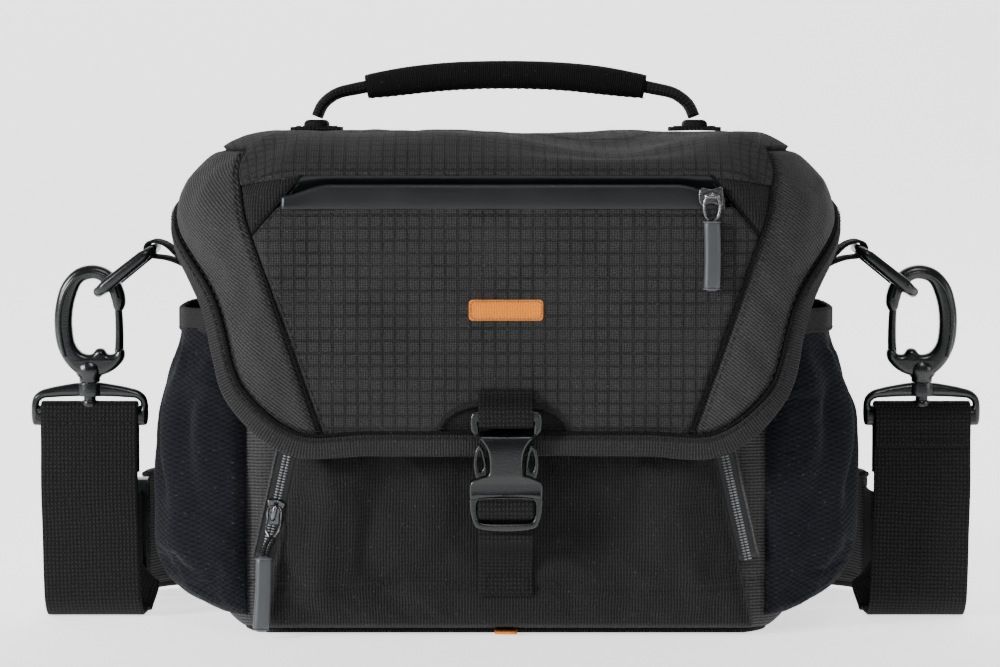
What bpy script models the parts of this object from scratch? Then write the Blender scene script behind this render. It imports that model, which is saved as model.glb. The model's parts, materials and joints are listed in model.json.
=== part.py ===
"""Camera shoulder bag: sewn panels and foam pads, a flap lid, moulded fittings and a shoulder strap.

Units are metres, +Z is up and the front faces -Y. The origin is the middle of the flat underside.
Most cloth pieces lie on one of two skins, each a U-shaped plan line that is followed by an arc
length s from the middle of the front (negative to the left), a height z and an outward offset.
"""

import math

import bmesh
import bpy
from mathutils import Vector

# ---------------------------------------------------------------- driving dimensions
GAP = 0.0003  # clearance between neighbouring pieces

BODY_HALF_WIDTH = 0.131
BODY_FRONT = -0.060
BODY_REAR = 0.078
BODY_CORNER = 0.030
BODY_TOP = 0.190
BASE_ROUND_SIDE = 0.024  # radius under the sides
BASE_ROUND_FRONT = 0.008  # radius under the front
PANEL = 0.003  # outer cloth with its backing
FOAM = 0.008
PANEL_SEAM = 0.090  # front panel meets the gusset at this arc length

BASE_PANEL_Z = (0.0, 0.0022)
RAIN_COVER_Z = (0.0025, 0.0068)
BASE_BOARD_Z = (0.0071, 0.0091)
BASE_FOAM_Z = (0.0094, 0.0174)
LINER_TOP = 0.186
DIVIDER_X = (-0.040, 0.044)

POCKET_FRONT = -0.0725

LID_HALF_WIDTH = 0.137
LID_FRONT = -0.087
LID_CORNER = 0.040
LID_REAR = 0.078
SKIRT_TOP = 0.1995
SKIRT_CLOTH = 0.003
LID_TOP_FRONT = -0.0755
LID_TOP_Z = (0.200, 0.2205)
LID_TOP_ROUND = 0.014
SIDE_FLARE = 0.38  # how far the side skirt swings out for each metre of drop
FLAP_OUT = -0.0112  # inner flap panel, behind the phone pocket
ZIP_TOP = 0.197  # mouth of the phone pocket
ZIP_HALF = 0.092
HINGE = Vector((0.0, 0.0805, 0.1945))

WEBBING = 0.0016
WEB_CENTRE = WEBBING / 2 + GAP  # from a wrapped bar's surface to the webbing's middle
BUCKLE_Y = -0.0932
BUCKLE_THICK = 0.0070
BUCKLE_WEB = 0.0248
SOCKET_Z = 0.0633  # mouth of the buckle's socket
SOCKET_TOP = 0.1017

LID_SLIDER = Vector((0.0880, LID_FRONT, 0.1935))
FRONT_ZIP = ((0.040, 0.1047), (0.160, 0.0775))  # z and distance from the middle
FRONT_ZIP_Y = -0.0632
FRONT_SLIDER_Z = 0.055
WIRE = 0.0006

STRAP_X = 0.1885
STRAP_Y = -0.007
STRAP_HALF = 0.022
FRAME_Z = (0.0875, 0.0925, 0.1000, 0.1070)  # bar, slot and top beam of the strap frame
FRAME_HALF = 0.02625
FRAME_THICK = 0.005
HOOK_Z = (0.111, 0.160)
EYE_Z = (0.118, 0.154)
HOOK_HALF = 0.0155
EYE_HALF = 0.0103
HOOK_THICK = 0.007
RING_INNER = Vector((0.1590, STRAP_Y, 0.1680))  # the ring's bar at the bag
RING_OUTER = Vector((0.1835, STRAP_Y, 0.1485))  # its far bar, inside the hook
RING_HALF = 0.015
RING_WIRE = 0.0023
TAB_HALF = 0.0108

HANDLE_Y = 0.045
HANDLE_FOOT_X = 0.088
HANDLE_Z = 0.2262
GRIP_HALF = 0.066
GRIP_RADIUS = 0.0066
CORE_RADIUS = 0.0022

COLOURS = {
    "ripstop": ((0.040, 0.040, 0.042), 0.80, 0.0),
    "body_cloth": ((0.045, 0.045, 0.045), 0.85, 0.0),
    "stretch_mesh": ((0.020, 0.022, 0.030), 0.90, 0.0),
    "binding": ((0.050, 0.052, 0.050), 0.75, 0.0),
    "webbing": ((0.012, 0.012, 0.012), 0.80, 0.0),
    "lining": ((0.300, 0.300, 0.310), 0.90, 0.0),
    "foam": ((0.220, 0.220, 0.225), 0.95, 0.0),
    "board": ((0.060, 0.060, 0.060), 0.60, 0.0),
    "black_plastic": ((0.025, 0.028, 0.030), 0.40, 0.0),
    "zip_tape": ((0.022, 0.028, 0.034), 0.35, 0.0),
    "dark_metal": ((0.080, 0.080, 0.085), 0.25, 1.0),
    "rubber": ((0.070, 0.075, 0.080), 0.50, 0.0),
    "accent": ((0.750, 0.240, 0.030), 0.70, 0.0),
    "rain_cloth": ((0.160, 0.170, 0.180), 0.50, 0.0),
}

bag = None
cutters = None


# ---------------------------------------------------------------- scene helpers
def clear_scene():
    """Empties the scene and makes the two collections."""
    global bag, cutters
    for obj in list(bpy.data.objects):
        bpy.data.objects.remove(obj)
    bag = bpy.data.collections.new("camera_bag")
    cutters = bpy.data.collections.new("cutters")
    for collection in (bag, cutters):
        bpy.context.scene.collection.children.link(collection)


def material(name):
    """The Principled material of this name, made once."""
    found = bpy.data.materials.get(name)
    if found:
        return found
    colour, roughness, metallic = COLOURS[name]
    made = bpy.data.materials.new(name)
    made.use_nodes = True
    shader = made.node_tree.nodes["Principled BSDF"]
    shader.inputs["Base Color"].default_value = (*colour, 1.0)
    shader.inputs["Roughness"].default_value = roughness
    shader.inputs["Metallic"].default_value = metallic
    return made


def add(name, data, finish, location=(0, 0, 0), on=None, collection=None):
    """An object from mesh or curve data, riding on the pivot empty given as on."""
    obj = bpy.data.objects.new(name, data)
    (collection or bag).objects.link(obj)
    obj.location = location
    obj.data.materials.append(material(finish))
    if on:
        obj.parent = on
        obj.matrix_parent_inverse = on.matrix_world.inverted()
    return obj


def pivot(name, location, on=None):
    """An empty on a joint's axis."""
    empty = bpy.data.objects.new(name, None)
    empty.empty_display_size = 0.01
    bag.objects.link(empty)
    empty.location = location
    bpy.context.view_layer.update()
    if on:
        empty.parent = on
        empty.matrix_parent_inverse = on.matrix_world.inverted()
        bpy.context.view_layer.update()
    return empty


def finished(bm, name):
    """A mesh from a bmesh, which is freed."""
    mesh = bpy.data.meshes.new(name)
    bm.to_mesh(mesh)
    bm.free()
    return mesh


def as_cutter(obj):
    obj.hide_render = True
    obj.display_type = "WIRE"
    return obj


def boolean(obj, other, operation):
    """Cuts or joins other, a cutter or helper mesh, into obj."""
    modifier = obj.modifiers.new(operation.lower(), "BOOLEAN")
    modifier.operation = operation
    modifier.object = as_cutter(other)


def block(name, low, high, finish, bevel=0.0, on=None, collection=None):
    """A box between two corners, with bevelled edges if asked."""
    low, high = Vector(low), Vector(high)
    bm = bmesh.new()
    bmesh.ops.create_cube(bm, size=1.0)
    bmesh.ops.scale(bm, vec=high - low, verts=bm.verts)
    obj = add(name, finished(bm, name), finish, (low + high) / 2, on, collection)
    if bevel:
        rounding = obj.modifiers.new("bevel", "BEVEL")
        rounding.width = bevel
        rounding.segments = 2
    return obj


def cylinder(name, centre, radius, top_radius, height, finish, on=None, collection=None):
    """A cone or cylinder with caps, standing on its middle."""
    bm = bmesh.new()
    bmesh.ops.create_cone(
        bm, cap_ends=True, segments=16, radius1=radius, radius2=top_radius, depth=height
    )
    obj = add(name, finished(bm, name), finish, centre, on, collection)
    obj.data.shade_smooth()
    return obj


def solidify(obj, thickness, offset):
    modifier = obj.modifiers.new("solidify", "SOLIDIFY")
    modifier.thickness = thickness
    modifier.offset = offset
    modifier.use_even_offset = True


def sheet(name, rows, finish, thickness, offset=-1.0, on=None):
    """A lofted sheet through rows of points, thickened away from its outer side."""
    columns = len(rows[0])
    bm = bmesh.new()
    verts = [bm.verts.new(point) for row in rows for point in row]
    for i in range(len(rows) - 1):
        for j in range(columns - 1):
            a = i * columns + j
            bm.faces.new([verts[a], verts[a + 1], verts[a + columns + 1], verts[a + columns]])
    bm.normal_update()
    middle = Vector((0.0, 0.01, 0.1))
    facing = sum((f.calc_center_median() - middle).dot(f.normal) * f.calc_area() for f in bm.faces)
    if facing < 0:
        bmesh.ops.reverse_faces(bm, faces=bm.faces)
    obj = add(name, finished(bm, name), finish, on=on)
    solidify(obj, thickness, offset)
    return obj


def outline_plate(name, points, thickness, finish, centre, on=None, holes=(), collection=None):
    """A flat XZ outline, extruded to a plate whose middle is at centre. Holes are inner outlines."""
    curve = bpy.data.curves.new(name, "CURVE")
    curve.dimensions = "2D"
    curve.fill_mode = "BOTH"
    curve.extrude = thickness / 2
    for ring in (points, *holes):
        spline = curve.splines.new("POLY")
        spline.points.add(len(ring) - 1)
        for target, (x, z) in zip(spline.points, ring):
            target.co = (x, z, 0.0, 1.0)
        spline.use_cyclic_u = True
    obj = add(name, curve, finish, collection=collection)
    obj.rotation_euler = (math.pi / 2, 0.0, 0.0)
    obj.location = centre
    bpy.context.view_layer.update()
    return meshed(obj, on)


def tube(name, points, radius, finish, on=None, cyclic=False, collection=None):
    """A round bar along a line of points."""
    curve = bpy.data.curves.new(name, "CURVE")
    curve.dimensions = "3D"
    curve.bevel_depth = radius
    curve.bevel_resolution = 2
    curve.use_fill_caps = True
    spline = curve.splines.new("POLY")
    spline.points.add(len(points) - 1)
    for target, point in zip(spline.points, points):
        target.co = (*point, 1.0)
    spline.use_cyclic_u = cyclic
    return add(name, curve, finish, on=on, collection=collection)


def meshed(obj, on=None):
    """The same object as a mesh with welded caps, so that it can be cut or joined."""
    name = obj.name
    home = obj.users_collection[0]
    place = obj.matrix_world.copy()
    graph = bpy.context.evaluated_depsgraph_get()
    mesh = bpy.data.meshes.new_from_object(obj.evaluated_get(graph))
    bm = bmesh.new()
    bm.from_mesh(mesh)
    bmesh.ops.remove_doubles(bm, verts=bm.verts, dist=1e-5)
    bmesh.ops.recalc_face_normals(bm, faces=bm.faces)
    finish = obj.data.materials[0].name
    bpy.data.objects.remove(obj)
    made = add(name, finished(bm, name), finish, collection=home)
    made.matrix_world = place
    if on:
        bpy.context.view_layer.update()
        made.parent = on
        made.matrix_parent_inverse = on.matrix_world.inverted()
    return made


# ---------------------------------------------------------------- small geometry
def ramp(value, start, end):
    """0 before start, 1 after end, smooth between."""
    t = min(1.0, max(0.0, (value - start) / (end - start)))
    return t * t * (3 - 2 * t)


def along(table, value):
    """Reads a table of (place, height) pairs by straight lines."""
    for (a, u), (b, v) in zip(table, table[1:]):
        if value <= b:
            return u + (v - u) * max(0.0, (value - a) / (b - a))
    return table[-1][1]


def spread(start, end, count):
    return [start + (end - start) * i / (count - 1) for i in range(count)]


def smooth_line(points, each=4):
    """A Catmull-Rom curve through the points."""
    points = [Vector(p) for p in points]
    ends = [2 * points[0] - points[1], *points, 2 * points[-1] - points[-2]]
    line = []
    for i in range(len(points) - 1):
        a, b, c, d = ends[i : i + 4]
        for k in range(each):
            t = k / each
            line.append(
                (2 * b + (c - a) * t + (2 * a - 5 * b + 4 * c - d) * t * t
                 + (3 * b - 3 * c + d - a) * t ** 3) / 2
            )
    return [*line, points[-1]]


def plan(s, half_width, front, corner):
    """The plan point and its outward normal at arc length s."""
    side = -1.0 if s < 0 else 1.0
    s = abs(s)
    flat = half_width - corner
    quarter = corner * math.pi / 2
    if s <= flat:
        x, y, nx, ny = s, front, 0.0, -1.0
    elif s <= flat + quarter:
        angle = (s - flat) / corner
        nx, ny = math.sin(angle), -math.cos(angle)
        x, y = flat + corner * nx, front + corner + corner * ny
    else:
        x, y, nx, ny = half_width, front + corner + s - flat - quarter, 1.0, 0.0
    return side * x, y, side * nx, ny


def plan_length(half_width, front, corner, rear):
    """The arc length at which the side reaches the rear."""
    return half_width - corner + corner * math.pi / 2 + rear - front - corner


def body_point(s, z, out=0.0):
    """A point on the body's skin, which rounds in under the base."""
    x, y, nx, ny = plan(s, BODY_HALF_WIDTH, BODY_FRONT, BODY_CORNER)
    radius = BASE_ROUND_FRONT + (BASE_ROUND_SIDE - BASE_ROUND_FRONT) * nx * nx
    if z < radius:
        out -= radius - math.sqrt(radius ** 2 - (radius - z) ** 2)
    return Vector((x + nx * out, y + ny * out, z))


def lid_point(s, z, out=0.0):
    """A point on the lid's skin: its sides flare out and its front shoulders lean back."""
    x, y, nx, ny = plan(s, LID_HALF_WIDTH, LID_FRONT, LID_CORNER)
    out += SIDE_FLARE * (SKIRT_TOP - z) * ramp(abs(s), 0.150, 0.200)
    out -= 0.0085 * ramp(z, 0.186, SKIRT_TOP) * ramp(abs(s), 0.095, 0.110) * ny * ny
    return Vector((x + nx * out, y + ny * out, z))


BODY_SIDE_END = plan_length(BODY_HALF_WIDTH, BODY_FRONT, BODY_CORNER, BODY_REAR)
LID_SIDE_END = plan_length(LID_HALF_WIDTH, LID_FRONT, LID_CORNER, LID_REAR)
BASE_LEVELS = (0.0025, 0.006, 0.012, 0.018, 0.024)
# Arc length at which the flap's edge stands at each height.
FLAP_EDGE = ((0.082, 0.092), (0.104, 0.1215), (0.147, 0.1396), (0.172, 0.165), (0.186, LID_SIDE_END))


def lid_seam(z):
    """Arc length of the slanting seam between the middle panel and a wing."""
    return along(((0.082, 0.077), (0.212, 0.1227)), z)


# ---------------------------------------------------------------- body
def body_sheet(name, s_list, levels, out, thickness, finish):
    return sheet(name, [[body_point(s, z, out) for s in s_list] for z in levels], finish, thickness)


def side_stations(start, end):
    """Arc lengths round the front corner and back along the side."""
    flat = BODY_HALF_WIDTH - BODY_CORNER
    quarter = BODY_CORNER * math.pi / 2
    return [start, *spread(flat, flat + quarter, 7), *spread(flat + quarter, end, 4)[1:]]


def make_tub():
    """The outer cloth: front, rear, two gussets and the base."""
    front = spread(-PANEL_SEAM + GAP, PANEL_SEAM - GAP, 5)
    body_sheet("front_panel", front, (*BASE_LEVELS, BODY_TOP), 0.0, PANEL, "body_cloth")
    for side, sign in (("left", -1), ("right", 1)):
        stations = [sign * s for s in side_stations(PANEL_SEAM, BODY_SIDE_END - GAP)]
        body_sheet(f"{side}_gusset", stations, (*BASE_LEVELS, BODY_TOP), 0.0, PANEL, "body_cloth")
    outline = base_outline(BODY_HALF_WIDTH, 0.0025, BODY_TOP)
    outline_plate("rear_panel", outline, PANEL, "body_cloth", (0, BODY_REAR + PANEL / 2, 0))
    make_base_panel()


def make_base_panel():
    """The flat underside, with round front corners."""
    low, high = BASE_PANEL_Z
    bm = bmesh.new()
    bmesh.ops.create_cube(bm, size=1.0)
    upright = [e for e in bm.edges if e.verts[0].co.x == e.verts[1].co.x]
    corners = [e for e in upright if all(v.co.y < 0 for v in e.verts)]
    for vert in bm.verts:
        y = 0.0805 if vert.co.y > 0 else -0.0565
        vert.co = (math.copysign(0.1165, vert.co.x), y, high if vert.co.z > 0 else low)
    bmesh.ops.bevel(bm, geom=corners, offset=0.018, segments=4, profile=0.5, affect="EDGES")
    add("base_panel", finished(bm, "base_panel"), "body_cloth")


def base_outline(half_width, low, high):
    """An upright outline with round lower corners, as XZ points."""
    r = BASE_ROUND_SIDE
    corner = [
        (half_width - r + r * math.sin(a), r - r * math.cos(a))
        for a in spread(0.28, math.pi / 2, 6)
    ]
    corner[0] = (corner[0][0], low)
    right = [*corner, (half_width, high)]
    return [*right, *[(-x, z) for x, z in reversed(right)]]


def make_padding():
    """Foam walls, base, board, folded rain cover and the two loose dividers."""
    levels = (BASE_FOAM_Z[1] + GAP, 0.024, LINER_TOP)
    out = -PANEL - GAP
    seam = PANEL_SEAM
    body_sheet("foam_front", spread(-seam + GAP, seam - GAP, 3), levels, out, FOAM, "foam")
    rear_foam_y = BODY_REAR - GAP - FOAM
    for side, sign in (("left", -1), ("right", 1)):
        end = BODY_SIDE_END - (BODY_REAR - rear_foam_y) - GAP
        stations = [sign * s for s in side_stations(seam + GAP, end)]
        body_sheet(f"foam_{side}", stations, levels, out, FOAM, "foam")
    width = 0.1265
    block("foam_rear", (-width, rear_foam_y, levels[0]), (width, BODY_REAR - GAP, LINER_TOP), "foam")
    block("foam_base", (-0.112, -0.0515, BASE_FOAM_Z[0]), (0.112, 0.077, BASE_FOAM_Z[1]), "foam")
    block("base_board", (-0.109, -0.0505, BASE_BOARD_Z[0]), (0.109, 0.076, BASE_BOARD_Z[1]), "board")
    block("rain_cover", (-0.100, -0.045, RAIN_COVER_Z[0]), (0.100, 0.070, RAIN_COVER_Z[1]), "rain_cloth")
    for side, x in zip(("left", "right"), DIVIDER_X):
        low = (x - FOAM / 2, BODY_FRONT + PANEL + FOAM + 3 * GAP, levels[0])
        high = (x + FOAM / 2, rear_foam_y - GAP, 0.160)
        block(f"divider_{side}", low, high, "lining", bevel=0.002)


def zip_x(z):
    """Distance of the front pocket's zip from the middle at height z, one straight slanting line."""
    (low, wide), (high, narrow) = FRONT_ZIP
    return wide + (narrow - wide) * (z - low) / (high - low)


def make_front_pocket():
    """A shallow pouch on the front panel, narrower at its top, and the zip round it."""
    back = BODY_FRONT - GAP
    low, high = 0.0045, 0.1655
    bm = bmesh.new()
    bmesh.ops.create_cube(bm, size=1.0)
    rear = [f for f in bm.faces if f.normal.y > 0.5]
    bmesh.ops.delete(bm, geom=rear, context="FACES_ONLY")
    front_edges = [e for e in bm.edges if all(v.co.y < 0 for v in e.verts)]
    for vert in bm.verts:
        z = high if vert.co.z > 0 else low
        y = back if vert.co.y > 0 else POCKET_FRONT
        vert.co = (math.copysign(zip_x(z) - 0.0055, vert.co.x), y, z)
    bmesh.ops.bevel(bm, geom=front_edges, offset=0.008, segments=3, profile=0.5, affect="EDGES")
    pouch = add("front_pocket", finished(bm, "front_pocket"), "body_cloth")
    solidify(pouch, 0.0016, -1.0)
    leg = [(-zip_x(z), z) for z in spread(0.040, 0.160, 4)]
    corner = [(-0.0765, 0.1680), (-0.0735, 0.1712), (-0.0680, 0.1722)]
    line = [*leg, *corner, *[(-x, z) for x, z in reversed([*leg, *corner])]]
    line = [Vector((x, FRONT_ZIP_Y, z)) for x, z in line]
    rows = []
    for i, point in enumerate(line):
        step = (line[min(i + 1, len(line) - 1)] - line[max(i - 1, 0)]).normalized()
        side = Vector((-step.z, 0.0, step.x)) * 0.0042
        rows.append([point - side, point + side])
    sheet("front_zip", rows, "zip_tape", 0.0012)


def pouch_depth(s, z):
    """How far a stretch pocket stands off the gusset."""
    across = (abs(s) - 0.1725) / 0.0580
    profile = max(0.0, 1.0 - abs(across) ** 3.2) ** 0.75
    depth = along(((0.008, 0.0), (0.013, 0.008), (0.029, 0.0205), (0.060, 0.0245),
                   (0.085, 0.0247), (0.105, 0.0215), (0.130, 0.0135), (0.143, 0.0125)), z)
    return 0.0018 + depth * profile


def make_side_pockets():
    """Stretch pouches on the gussets with an elastic band round each mouth."""
    stations = spread(0.1145, 0.2305, 13)
    mesh_levels = (0.008, 0.013, 0.020, 0.029, 0.045, 0.060, 0.085, 0.105, 0.1318)
    for side, sign in (("left", -1), ("right", 1)):
        rows = [[body_point(sign * s, z, pouch_depth(s, z)) for s in stations] for z in mesh_levels]
        sheet(f"{side}_pocket", rows, "stretch_mesh", 0.0012)
        rows = [
            [body_point(sign * s, z, pouch_depth(s, z) + 0.0006) for s in stations]
            for z in (0.1325, 0.143)
        ]
        sheet(f"{side}_pocket_band", rows, "binding", 0.0018)


def make_back():
    """The quilted back pad and the pull of the rain cover."""
    back = BODY_REAR + PANEL + GAP
    block("back_pad", (-0.108, back, 0.020), (0.108, back + 0.007, 0.176), "lining", bevel=0.003)
    block("rain_cover_tab", (-0.005, -0.0665, 0.0006), (0.005, -0.0568, 0.0018), "accent")


# ---------------------------------------------------------------- lid
def rounded_top(name, half, rear, front, levels, radius, finish, on, hollow):
    """A slab with rounded upper edges and upright corners, open underneath if hollow."""
    bm = bmesh.new()
    bmesh.ops.create_cube(bm, size=1.0)
    bottom = [f for f in bm.faces if f.normal.z < -0.5]
    if hollow:
        bmesh.ops.delete(bm, geom=bottom, context="FACES_ONLY")
    top_edges = [e for e in bm.edges if any(v.co.z > 0 for v in e.verts)]
    for vert in bm.verts:
        y = rear if vert.co.y > 0 else front
        vert.co = (math.copysign(half, vert.co.x), y, levels[vert.co.z > 0])
    bmesh.ops.bevel(bm, geom=top_edges, offset=radius, segments=3, profile=0.5, affect="EDGES")
    return add(name, finished(bm, name), finish, on=on)


def make_lid(on):
    """Padded top, slanting wings, phone pocket with its zip, inner flap and edge binding."""
    low, high = LID_TOP_Z
    rear = LID_REAR + 0.002
    top = rounded_top("lid_top", LID_HALF_WIDTH, rear, LID_TOP_FRONT, LID_TOP_Z, LID_TOP_ROUND,
                      "ripstop", on, hollow=True)
    solidify(top, 0.0025, -1.0)
    inset = 0.0034
    rounded_top("lid_foam", LID_HALF_WIDTH - inset, rear - inset, LID_TOP_FRONT + inset,
                (low, high - inset), LID_TOP_ROUND - 0.0015, "foam", on, hollow=False)

    levels = (0.082, 0.090, 0.104, 0.125, 0.147, 0.160, 0.172, 0.180, 0.186, 0.191, SKIRT_TOP)
    for side, sign in (("left", -1), ("right", 1)):
        rows = [
            [lid_point(sign * s, z) for s in spread(lid_seam(z) + GAP, along(FLAP_EDGE, z), 15)]
            for z in levels
        ]
        sheet(f"lid_wing_{side}", rows, "body_cloth", SKIRT_CLOTH, on=on)

    across = (-1.0, -0.96, -0.88, -0.4, 0.0, 0.4, 0.88, 0.96, 1.0)
    levels = (0.082, 0.120, 0.160, ZIP_TOP - 0.0087)
    rows = [[lid_point(k * (lid_seam(z) - GAP), z) for k in across] for z in levels]
    sheet("lid_pocket_panel", rows, "ripstop", 0.0018, on=on)
    rows = []
    for z in (0.084, 0.087, 0.093, 0.120, 0.160, SKIRT_TOP):
        half = lid_seam(z) - 0.0030
        row = []
        for k in across:
            depth = ramp(half * (1 - abs(k)), 0.0, 0.010) * ramp(z, 0.083, 0.093)
            row.append(lid_point(k * half, z, -0.0023 + (FLAP_OUT + 0.0023) * depth))
        rows.append(row)
    sheet("lid_flap", rows, "body_cloth", 0.002, on=on)
    for name, levels, out in (
        ("lid_zip_tape_lower", (ZIP_TOP - 0.0084, ZIP_TOP), 0.0),
        ("lid_zip_tape_upper", (0.188, SKIRT_TOP), FLAP_OUT + 0.0017),
    ):
        rows = [[lid_point(s, z, out) for s in spread(-ZIP_HALF, ZIP_HALF, 5)] for z in levels]
        sheet(name, rows, "zip_tape", 0.0014, on=on)
    make_binding(on)
    low, high = (-0.016, LID_FRONT - 0.0011, 0.140), (0.016, LID_FRONT - GAP, 0.149)
    block("emblem_patch", low, high, "accent", on=on)


def edge_line():
    """The flap's edge as (s, z) points, from the middle of the front to the rear."""
    path = [(0.0, 0.082), (0.060, 0.082), *[(s, z) for z, s in FLAP_EDGE]]
    return smooth_line([(s, z, 0.0) for s, z in path], 4)


def make_binding(on):
    """A folded tape along the flap's whole edge."""
    line = edge_line()
    half = []
    for i, here in enumerate(line):
        step = (line[min(i + 1, len(line) - 1)] - line[max(i - 1, 0)]).normalized()
        half.append((here, Vector((-step.y, step.x))))
    rows = [[], []]
    for sign, run in ((-1, reversed(half)), (1, half[1:])):
        for here, inward in run:
            for row, width in zip(rows, (-0.001, 0.008)):
                s = max(0.0, here.x + inward.x * width)
                z = min(here.y + inward.y * width, SKIRT_TOP)
                row.append(lid_point(sign * s, z, 0.0025))
    sheet("lid_binding", rows, "binding", 0.0014, on=on)


def make_hinge_strip():
    """The cloth that the lid turns on, sewn to the rear panel."""
    low = (-0.122, BODY_REAR + 0.0005, BODY_TOP + GAP)
    block("hinge_strip", low, (0.122, BODY_REAR + 0.0025, 0.1982), "body_cloth")


def make_handle(on):
    """Folded webbing from foot to foot, with a padded grip round its middle."""
    top = LID_TOP_Z[1] + GAP
    for side, sign in (("left", -1), ("right", 1)):
        x = sign * HANDLE_FOOT_X
        low, high = (x - 0.012, HANDLE_Y - 0.012, top), (x + 0.012, HANDLE_Y + 0.012, top + 0.0019)
        block(f"handle_foot_{side}", low, high, "webbing", on=on)
    swing = pivot("handle_pivot", (0, HANDLE_Y, HANDLE_Z), on)
    half = [(HANDLE_FOOT_X, 0.0), (0.0850, 0.0062), (0.0790, 0.0108), (0.0690, 0.0140),
            (0.0550, 0.0165), (0.0300, 0.0196), (0.0, 0.0208)]
    half = [Vector((x, HANDLE_Y, HANDLE_Z + z)) for x, z in half]
    line = smooth_line([*half, *[Vector((-p.x, p.y, p.z)) for p in reversed(half[:-1])]], 3)
    tube("handle_webbing", line, CORE_RADIUS, "webbing", swing)
    within = [p for p in line if abs(p.x) <= GRIP_HALF]
    longer = [p for p in line if abs(p.x) <= GRIP_HALF + 0.010]
    grip = meshed(tube("handle_grip", within, GRIP_RADIUS, "binding"), swing)
    hole = meshed(tube("grip_hole", longer, CORE_RADIUS + GAP, "binding", collection=cutters))
    boolean(grip, hole, "DIFFERENCE")


# ---------------------------------------------------------------- zip sliders
def arch(name, feet, out, finish):
    """A bridge from one foot to the other that stands out from a slider."""
    a, b = (Vector(p) for p in feet)
    away = Vector((0.0, -out, 0.0))
    inner = Vector((0.0, 0.0012, 0.0))
    crown = [a.lerp(b, 0.15) + away, a.lerp(b, 0.85) + away]
    line = [a + inner, a + away * 0.7, *crown, b + away * 0.7, b + inner]
    return meshed(tube(name, line, 0.0007, finish, collection=cutters))


def make_pull(name, eye, line, grip, on):
    """A wire eye with a cord and a tube grip, in one piece."""
    loop = meshed(tube(name, eye, WIRE, "rubber", cyclic=True), on)
    cord = meshed(tube(f"{name}_cord", line, 0.0009, "rubber", collection=cutters))
    held = meshed(tube(f"{name}_grip", grip, 0.0032, "rubber", collection=cutters))
    boolean(loop, cord, "UNION")
    boolean(loop, held, "UNION")
    return loop


def make_lid_zip(on):
    """Slider and pull of the phone pocket, hanging from a bridge along the zip."""
    x, y, z = LID_SLIDER
    face = y - 0.0035
    slide = pivot("lid_slider_pivot", LID_SLIDER, on)
    low, high = (x - 0.0048, face, z - 0.0036), (x + 0.0048, y - GAP, z + 0.0036)
    slider = block("lid_zip_slider", low, high, "dark_metal", on=slide)
    feet = [(x - 0.003, face, z), (x + 0.003, face, z)]
    bridge = arch("lid_slider_bridge", feet, 0.0032, "dark_metal")
    boolean(slider, bridge, "UNION")
    bar = Vector((x, face - 0.0032, z))
    swing = pivot("lid_pull_pivot", bar, slide)
    eye = [bar + Vector((0, 0.0024 * math.sin(a), -0.0008 + 0.0024 * math.cos(a))) for a in turns(12)]
    cord = [bar + Vector((0, 0, dz)) for dz in (-0.0030, -0.0125)]
    grip = [bar + Vector((0, 0, dz)) for dz in (-0.0115, -0.0400)]
    make_pull("lid_zip_pull", eye, cord, grip, swing)


def turns(count):
    return [2 * math.pi * i / count for i in range(count)]


def make_front_zip_slider():
    """Slider and pull of the front pocket's zip, on its left leg."""
    z = FRONT_SLIDER_Z
    x = -zip_x(z)
    face = FRONT_ZIP_Y - 0.0035
    slide = pivot("front_slider_pivot", (x, FRONT_ZIP_Y, z))
    low, high = (x - 0.0036, face, z - 0.0048), (x + 0.0036, FRONT_ZIP_Y - GAP, z + 0.0048)
    slider = block("front_zip_slider", low, high, "dark_metal", on=slide)
    feet = [(x, face, z + 0.003), (x, face, z - 0.003)]
    bridge = arch("front_slider_bridge", feet, 0.0032, "dark_metal")
    boolean(slider, bridge, "UNION")
    bar = Vector((x, face - 0.00125, z + 0.0012))
    swing = pivot("front_pull_pivot", bar, slide)
    eye = [(0.0026, 0, 0), (0.0026, -0.0022, -0.0040), (0.0018, -0.0044, -0.0072)]
    eye = [*eye, *[(-dx, dy, dz) for dx, dy, dz in reversed(eye)]]
    cord = [(0, -0.0044, -0.0070), (-0.0030, -0.0088, -0.0150), (-0.0050, -0.0100, -0.0215)]
    grip = [(-0.0050, -0.0100, -0.0205), (-0.0055, -0.0100, -0.0525)]
    eye, cord, grip = ([bar + Vector(p) for p in line] for line in (eye, cord, grip))
    make_pull("front_zip_pull", eye, cord, grip, swing)


# ---------------------------------------------------------------- buckle
def mirrored(points):
    """Closes a right half outline with its mirror image."""
    return [*points, *[(-x, z) for x, z in reversed(points)]]


def rectangle(half, low, high):
    return mirrored([(half, low), (half, high)])


def web(name, line, half, along_x, finish, on=None):
    """A webbing strip whose width lies along X or along Y."""
    wide = Vector((half, 0, 0)) if along_x else Vector((0, half, 0))
    rows = [[Vector(p) - wide, Vector(p) + wide] for p in line]
    return sheet(name, rows, finish, WEBBING, 0.0, on)


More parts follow.
